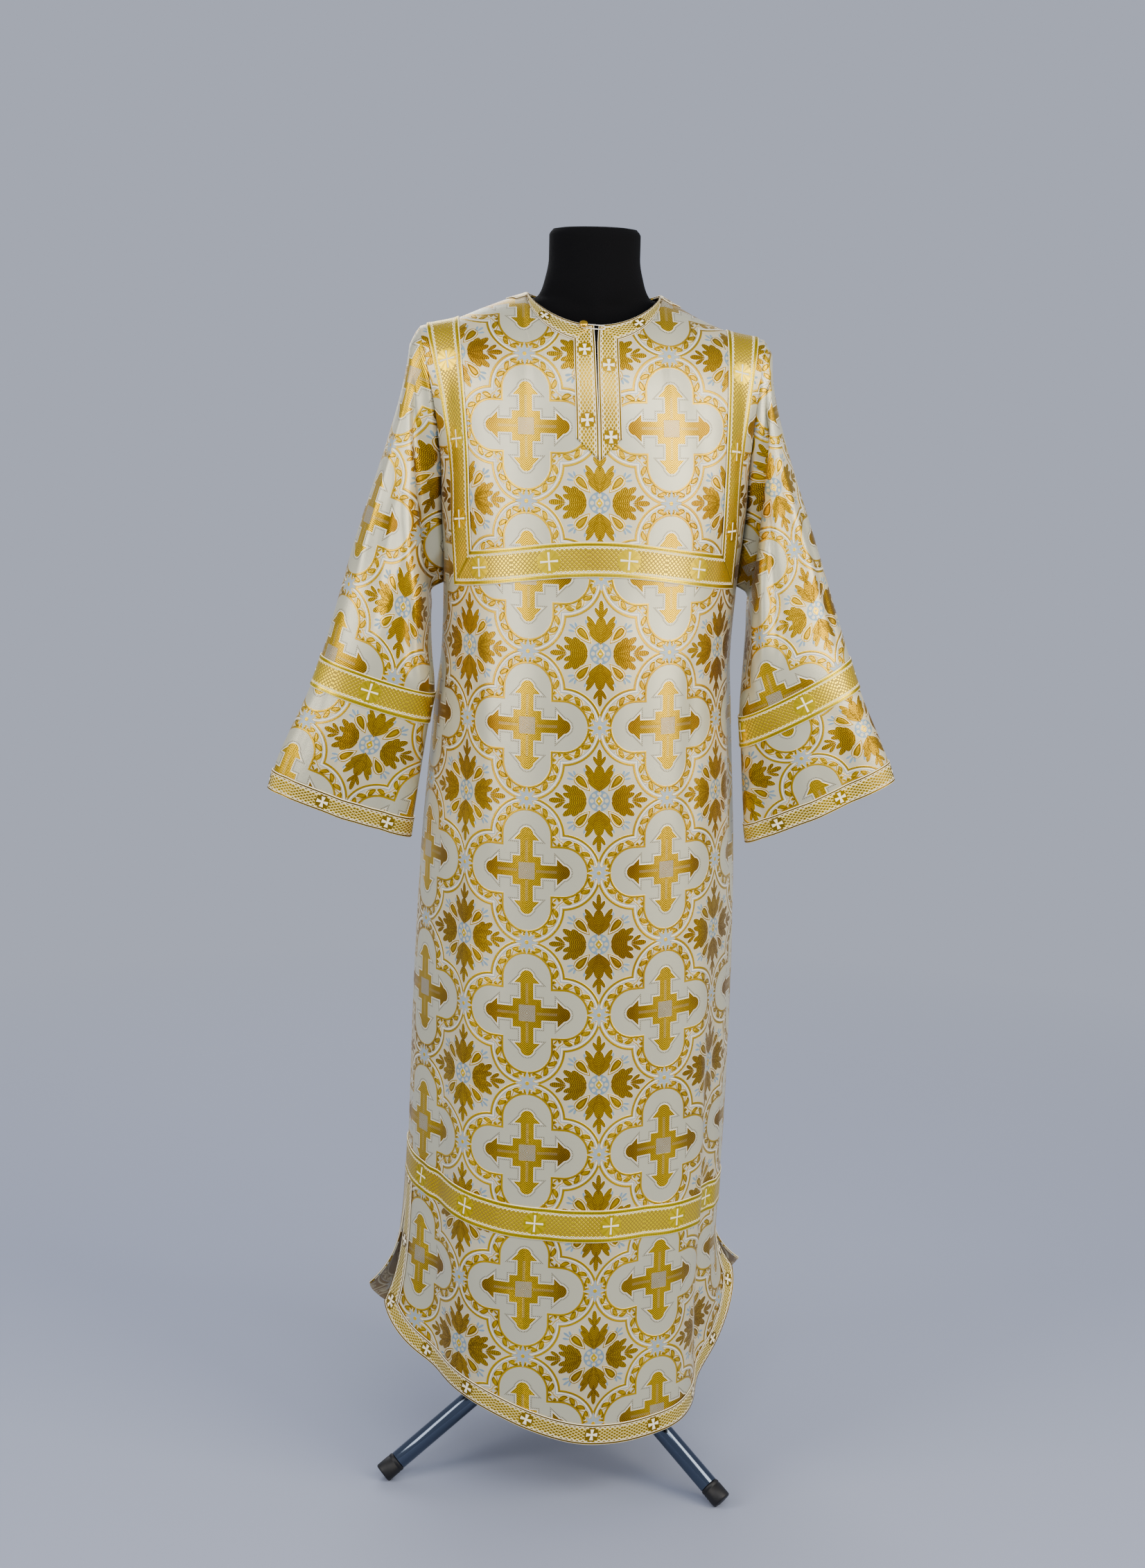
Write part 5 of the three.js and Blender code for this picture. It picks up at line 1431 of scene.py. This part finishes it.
def trim_frame(hand, out, below):
    """Origin and directions (across, up, outward) on the neck trim, from the slit's edge and
    from the neckline."""
    lift = np.array(LIFT + GALLOON_WALL + FACE_GAP)
    corner, foot, side = [cloth(FRONT, np.array(c * hand * 1.0), np.array(r), lift, hand=hand)[0]
                          for c, r in ((0, 0.0), (1, 1.0), (1, 0.0))]
    origin = corner + (side - corner) * (out - below) / NARROW + (foot - corner) * below / NARROW
    across = (side - corner) * hand
    across /= np.linalg.norm(across)
    outward = np.cross(across, foot - corner)
    outward *= -np.sign(outward[1]) / np.linalg.norm(outward)
    return origin, across, np.cross(outward, across), outward


def turned_profile(origin, axis, profile, sides=40):
    """A profile of (radius, height) carried round an axis; returns a grid of rings."""
    axis = np.asarray(axis, float) / np.linalg.norm(axis)
    side = np.cross(axis, [0.0, 0.0, 1.0] if abs(axis[2]) < 0.9 else [1.0, 0.0, 0.0])
    side /= np.linalg.norm(side)
    other = np.cross(axis, side)
    angle = np.linspace(0, 2 * math.pi, sides + 1)
    radius, height = np.array(profile, float).T
    circle = side * np.cos(angle)[:, None] + other * np.sin(angle)[:, None]
    grid = origin + axis * height[:, None, None] + circle[None] * radius[:, None, None]
    grid[:, -1] = grid[:, 0]
    return grid


def add_turned(name, node, material, origin, axis, profile, sides=40, shape=None):
    """A solid turned on an axis: the profile runs from its foot to its head, each with a flat
    cap. shape changes the rings before they are made a mesh."""
    grid = turned_profile(np.asarray(origin, float), axis, profile, sides)
    if shape is not None:
        grid = shape(grid)
    faces = grid_faces(*grid.shape[:2], flipped=True)
    last = (grid.shape[0] - 1) * grid.shape[1]
    caps = [list(range(sides))[::-1], list(range(last, last + sides))]
    return add_piece(name, grid, faces, [material], node, caps=caps)


seat, _, _, seat_out = trim_frame(-1, BUTTON_SEAT, LOOP_BELOW)
dome = [(5.2 * math.cos(a) ** 0.8, 5.2 + 3.0 * math.sin(a)) for a in np.linspace(0, 1.5, 12)]
button = add_turned("gilt_button", "button", gilt_brass, seat, seat_out, [
    (1.6, 0), (1.6, 4.4), (3.6, 4.6), (4.9, 4.8), *dome, (0.15, 8.2)], sides=48)

# %% [markdown]
# ### The loop
# A bevelled curve would make a round cord, but this one is of three twisted strands, so its
# section is a circle that swells three times round and turns as it runs along the path.

# %% The loop's cord
right_seat = trim_frame(1, 3, LOOP_BELOW)[0]
loop_across = (right_seat - seat) / np.linalg.norm(right_seat - seat)
loop_out = seat_out - loop_across * (seat_out @ loop_across)
loop_out /= np.linalg.norm(loop_out)
loop_up = np.cross(loop_out, loop_across)
lift_seats = [trim_frame(-1, 3, LOOP_BELOW)[0], right_seat]
loop_rise = max(0, *[(p - seat) @ loop_out for p in lift_seats])
loop_start = seat + loop_across * BUTTON_SEAT + loop_out * (loop_rise + 0.65)
bend = np.linspace(-math.pi / 2, math.pi / 2, 16)
slot_path = np.concatenate([
    np.stack([LOOP_FROM + LOOP_RADIUS * np.cos(bend), LOOP_RADIUS * np.sin(bend)], 1),
    np.stack([-BUTTON_SEAT - LOOP_RADIUS * np.cos(bend), -LOOP_RADIUS * np.sin(bend)], 1)])
slot_path = np.vstack([slot_path, slot_path[:1]])
length = np.concatenate([[0], np.cumsum(np.linalg.norm(np.diff(slot_path, axis=0), axis=1))])
even = np.linspace(0, length[-1], 121)
path = np.stack([np.interp(even, length, slot_path[:, k]) for k in (0, 1)], 1)
tangent = np.gradient(path, axis=0)
tangent[[0, -1]] = path[1] - path[-2]
tangent /= np.linalg.norm(tangent, axis=1)[:, None]
side = np.stack([tangent[:, 1], -tangent[:, 0]], 1)
angle = np.linspace(0, 2 * math.pi, 13)
strands = 1 + 0.16 * np.cos(3 * angle[None] + even[:, None] * 2.6)
wide = 0.62 * strands * np.cos(angle)
high = 0.52 * strands * np.sin(angle)
flat = path[:, None, :] + side[:, None, :] * wide[..., None]
loop_grid = loop_start + flat[..., :1] * loop_across + flat[..., 1:] * loop_up
loop_grid = loop_grid + high[..., None] * loop_out
loop_grid[-1], loop_grid[:, -1] = loop_grid[0], loop_grid[:, 0]
button_loop = add_piece("loop_of_cord", loop_grid, grid_faces(*loop_grid.shape[:2]),
                        [loop_cotton], "button_loop")
print("button at", ((seat + SHIFT) / 1000).round(4).tolist())

# %% [markdown]
# ## Dress form
# The form has a neck and a torso and no limbs, and is covered in black jersey. It could be
# sculpted, but only its neck shows, so it is a stack of rings that stays just under the cloth:
# each is a little flatter and more pinched towards the shoulders, where the cloth rests on it.

# %% The form's rings
def seat_half_width(side, z):
    """How far out the shoulder cloth, less its wall and a small gap, passes a height."""
    out = np.linspace(NECK_HALF, 200, 400)
    under = shoulder[side](out) - WALL - 0.9
    return float(np.interp(-z, -under, out)) * SHOULDER_SCALE


FORM_BOTTOM, FORM_SIDES = 850, 96
SEATS = [1516, 1528, 1539]
seat_left = [min(seat_half_width("left", z), 172) for z in SEATS]
seat_right = [min(seat_half_width("right", z), 160) for z in SEATS]
FORM = {
    "z": [FORM_BOTTOM, 905, 1000, 1110, 1200, 1290, 1380, 1440, 1480, 1502, *SEATS,
          1553, 1572, 1600, 1628, 1635],
    "left": [150, 160, 150, 134, 148, 164, 172, 178, 178, 172, *seat_left, 70, 62, 57, 57, 52],
    "right": [150, 160, 150, 134, 148, 160, 166, 170, 168, 160, *seat_right, 70, 62, 57, 57, 52],
    "front": [104, 112, 104, 98, 114, 124, 114, 88, 70, 60, 58, 58, 58, 58, 57, 56, 56, 51],
    "back": [104, 114, 108, 94, 100, 110, 106, 88, 70, 60, 57, 57, 57, 57, 56, 56, 56, 51],
    "pinch": [1, 1, 1, 1, 1, 1, 1, 1, 1.1, 1.3, 1.6, 1.6, 1.6, 1.15, 1, 1, 1, 1],
}
form_heights = np.concatenate([np.linspace(FORM_BOTTOM, 1500, 66), np.linspace(1504, 1560, 29),
                               np.linspace(1564, 1624, 16), [1628, 1631, 1633.5, 1635]])
form_row = {name: through(FORM, "z", name)(form_heights)[:, None] for name in FORM if name != "z"}
form_angle = np.linspace(0, 2 * math.pi, FORM_SIDES + 1)[None]


def pinched(value):
    """A sine or cosine to the power of the ring's pinch, which flattens the ring's corners."""
    return np.sign(value) * np.abs(value) ** form_row["pinch"]


form_x = pinched(np.cos(form_angle)) * np.where(np.cos(form_angle) < 0, form_row["left"], form_row["right"])
form_y = pinched(np.sin(form_angle)) * np.where(np.sin(form_angle) < 0, form_row["front"], form_row["back"])
form_z = np.broadcast_to(form_heights[:, None], form_x.shape)
for z, share in ((1636.6, 0.8), (1637.5, 0.5), (1637.9, 0.05)):
    form_x, form_y = [np.concatenate([v, v[len(form_heights) - 1][None] * share]) for v in (form_x, form_y)]
    form_z = np.concatenate([form_z, np.full((1, FORM_SIDES + 1), z)])
form_x, form_y = [np.concatenate([v[:1] * 0.9, v]) for v in (form_x, form_y)]
form_z = np.concatenate([form_z[:1], form_z])
form_grid = turned(SHOULDER_CENTRE, form_x, form_y, form_z, float(plan["turn"](float(CHEST_HEIGHT))))
form_grid[:, -1] = form_grid[:, 0]
last_ring = (len(form_grid) - 1) * (FORM_SIDES + 1)
form_caps = [list(range(FORM_SIDES))[::-1], list(range(last_ring, last_ring + FORM_SIDES))]
form = add_piece("dress_form", form_grid, grid_faces(*form_grid.shape[:2], flipped=True),
                 [black_jersey], "form_torso", caps=form_caps)
print("dress form", len(form.data.polygons), "faces")

# %% [markdown]
# ## Stand
# A chromed steel tube carries the form. It stands in a round hub from which three tubes slope
# down to black plastic end caps. Plain cylinders would be quicker, but a perfectly sharp edge
# shows no highlight, so tubes, hub and caps are turned profiles with broken edges and grooves.

# %% Pole and hub
POLE_RADIUS, HUB_RADIUS, HUB_BOTTOM, HUB_TOP = 14, 27, 152, 214
LEG_RADIUS, LEG_HUB_HEIGHT, LEG_REACH, FOOT_HEIGHT = 12.5, 190, 262, 9
CAP_RADIUS, CAP_LENGTH = 13.2, 26
LEG_ANGLES = {"left": -66.6, "right": 53.4, "back": 173.4}


def on_stand(z):
    """A point on the pole's axis."""
    return np.array([STAND_X, STAND_Y, z], float)


def tube_profile(radius, length, edge):
    """A tube as a solid bar whose two edges are broken by a bevel of that size."""
    return [(radius - edge, 0), (radius, edge), (radius, length * 0.5), (radius, length - edge),
            (radius - edge, length)]


UP = [0.0, 0.0, 1.0]
GROOVE = HUB_RADIUS - 0.8
hub_profile = [
    (24, 0), (26, 0.6), (HUB_RADIUS, 2), (HUB_RADIUS, 10), (GROOVE, 11), (GROOVE, 13),
    (HUB_RADIUS, 14), (HUB_RADIUS, 46), (GROOVE, 47), (GROOVE, 49), (HUB_RADIUS, 50),
    (HUB_RADIUS, 59), (26, 61.2), (23, HUB_TOP - HUB_BOTTOM)]
pole_length = FORM_BOTTOM - HUB_TOP - 2 * FACE_GAP
add_turned("pole_of_steel_tube", "stand_pole", chromed_steel,
           on_stand(HUB_TOP + FACE_GAP), UP, tube_profile(POLE_RADIUS, pole_length, 0.8), sides=56)
add_turned("hub_of_stand", "stand_hub", chromed_steel, on_stand(HUB_BOTTOM), UP,
           hub_profile, sides=64)
print("pole", round(pole_length), "mm and hub", HUB_TOP - HUB_BOTTOM, "mm high")

# %% Legs and their end caps
def above_floor(grid):
    """Cuts a cap flat where it stands: no point lies below 0."""
    return np.concatenate([grid[..., :2], np.maximum(grid[..., 2:], 0)], -1)


cap = CAP_LENGTH - FACE_GAP
cap_profile = [
    (CAP_RADIUS - 0.6, 0), (CAP_RADIUS - 0.1, 0.8), (CAP_RADIUS, 2), (CAP_RADIUS, 4),
    (CAP_RADIUS - 0.5, 4.6), (CAP_RADIUS - 0.5, 5.6), (CAP_RADIUS, 6.2), (CAP_RADIUS, cap - 3),
    (CAP_RADIUS - 0.4, cap - 1), (CAP_RADIUS - 1.6, cap)]
for word, degrees in LEG_ANGLES.items():
    turn = math.radians(degrees)
    direction = np.array([math.sin(turn), -math.cos(turn), 0])
    end = on_stand(FOOT_HEIGHT) + direction * LEG_REACH
    slope = math.atan2(LEG_HUB_HEIGHT - FOOT_HEIGHT, LEG_REACH)
    onward = direction * math.cos(slope) + np.array([0, 0, -math.sin(slope)])
    first = (HUB_RADIUS + FACE_GAP + LEG_RADIUS * math.sin(slope)) / math.cos(slope)
    start = on_stand(LEG_HUB_HEIGHT) + onward * first
    leg = np.linalg.norm(end - onward * CAP_LENGTH - start)
    add_turned(f"leg_of_stand_{word}", f"stand_leg_{word}", chromed_steel,
               start, onward, tube_profile(LEG_RADIUS, leg, 0.7), sides=48)
    add_turned(f"cap_of_leg_{word}", f"foot_cap_{word}", black_plastic,
               end - onward * cap, onward, cap_profile, sides=48, shape=above_floor)
    print("leg", word, "is", round(float(leg)), "mm long")

# %% [markdown]
# ## Sheets of cloth
# Each cut piece's flat size is printed: its width, length and area. The sizes could be typed in,
# but the map that carries the weave already is the flat cloth, so they are measured from it.

# %% Flat sizes of the cut pieces
def flat_cut(piece):
    """Width, length and area of a piece laid flat, in metres, from its own map."""
    layer = piece.data.uv_layers["cloth"].data
    uv = np.empty(len(layer) * 2)
    layer.foreach_get("uv", uv)
    uv = uv.reshape(-1, 2)
    area = 0.0
    for face in piece.data.polygons:
        corners = uv[face.loop_start:face.loop_start + face.loop_total]
        x, y = corners.T
        area += abs(x @ np.roll(y, 1) - y @ np.roll(x, 1)) / 2
    width, length = uv.max(axis=0) - uv.min(axis=0)
    return float(width), float(length), float(area)


def declare_sheet(piece, mitred=False):
    """A mitred ribbon keeps its own surface as its area; a panel has the area of its map."""
    width, length, area = flat_cut(piece)
    if mitred:
        area = sum(face.area for face in piece.data.polygons)
    print(f"{piece.name}: {width:.3f} x {length:.3f} m, {area:.3f} m2 of cloth")


BODY, ARMS = [front_panel, back_panel], {"left": sleeve_left, "right": sleeve_right}
for panel in BODY:
    declare_sheet(panel)
for tube in ARMS.values():
    declare_sheet(tube)
for name, strip in trims.items():
    word = name.split("_")[-1]
    declare_sheet(strip, mitred=True)

# %% [markdown]
# ## Floor, light and camera
# A studio's paper sweep could be modelled, but a flat floor that fades into a plain surround
# of nearly its colour looks the same from every side and hides no part of the hem.

# %% Floor and surround
def make_floor():
    """A disc of rings out to 9 m; its alpha falls off as (2.6 - r) / 1.6 with the distance r."""
    radius = np.concatenate([[0.0002], np.linspace(0.2, 9, 40)])[:, None]
    angle = np.linspace(0, 2 * math.pi, 97)[None]
    grid = np.stack([radius * np.cos(angle), radius * np.sin(angle), 0 * radius * angle], -1)
    mesh = bpy.data.meshes.new("floor")
    mesh.from_pydata(grid.reshape(-1, 3).tolist(), [], grid_faces(*grid.shape[:2]).tolist())
    floor = bpy.data.objects.new("floor", mesh)
    bpy.context.scene.collection.objects.link(floor)
    material, tree, shader = new_material("pale_matt_floor")
    coords = add_node(tree, "ShaderNodeTexCoord", output=3)
    away = Field(tree, add_node(tree, "ShaderNodeVectorMath", coords, operation="LENGTH", output=1))
    fill(shader, Base_Color=linear(FLOOR_COLOUR), Roughness=0.9, Metallic=0.0,
         Alpha=(2.6 - away) * (1 / 1.6))
    mesh.materials.append(material)


FLOOR_COLOUR, SURROUND = "8e95a8", "b1b7c8"
make_floor()
world = bpy.data.worlds.new("pale_surround")
bpy.context.scene.world = world
world.use_nodes = True
surround = world.node_tree.nodes["Background"]
surround.inputs[0].default_value = linear(SURROUND)
surround.inputs[1].default_value = 1.0
print("floor and surround:", FLOOR_COLOUR, SURROUND)

# %% [markdown]
# ### Lights
# Gold cloth shows what it mirrors, so small lamps would make hard spots on it. Large soft lights
# stand on both sides, the right one brighter and both a little warm, one hangs in front to light
# the ribs from above, and one stands behind so that the back isn't dark.

# %% Four soft lights
def area_light(name, size, watts, place, target, colour):
    """A soft rectangular light at a place in metres, turned to face its target."""
    light = bpy.data.lights.new(name, "AREA")
    light.shape, light.size, light.size_y = "RECTANGLE", size[0], size[1]
    light.energy, light.color = watts, linear(colour)[:3]
    lamp = bpy.data.objects.new(name, light)
    lamp.location = place
    lamp.rotation_euler = (Vector(target) - Vector(place)).to_track_quat("-Z", "Y").to_euler()
    bpy.context.scene.collection.objects.link(lamp)
    return lamp


WHITE, WARM = "ffffff", "fff6e6"
area_light("right_light", (1.5, 2.2), 100, (2.2, -1.6, 1.9), (0, 0, 1.15), WARM)
area_light("left_light", (1.3, 2.0), 62, (-2.2, -1.5, 1.9), (0, 0, 1.15), "fff8f0")
area_light("front_light", (2.2, 1.0), 55, (0.2, -2.4, 2.9), (0, 0, 1.3), WHITE)
area_light("back_light", (2.0, 1.8), 60, (-0.6, 2.6, 2.4), (0, 0, 1.0), WHITE)
print("lights:", len(bpy.data.lights))

# %% [markdown]
# ### Camera
# A 50 mm lens at eye height, 2.8 m in front of the pole and tilted down eleven degrees, keeps
# the robe's sides nearly upright. A longer lens would flatten the sleeves against the body.

# %% Camera
CAMERA_PLACE = [-20, -2790, 1477]  # in the tables' own frame, in millimetres
LENS_DOWN, LENS_ROLL = 11.05, 1.26
camera_data = bpy.data.cameras.new("camera")
camera_data.lens, camera_data.sensor_width, camera_data.sensor_fit = 50, 36, "AUTO"
camera = bpy.data.objects.new("camera", camera_data)
camera.matrix_world = (Matrix.Translation(Vector((np.array(CAMERA_PLACE) + SHIFT) / 1000))
                       @ Matrix.Rotation(math.radians(90 - LENS_DOWN), 4, "X")
                       @ Matrix.Rotation(math.radians(LENS_ROLL), 4, "Z"))
bpy.context.scene.collection.objects.link(camera)
bpy.context.scene.camera = camera
print("camera at", [round(v, 3) for v in camera.matrix_world.translation])
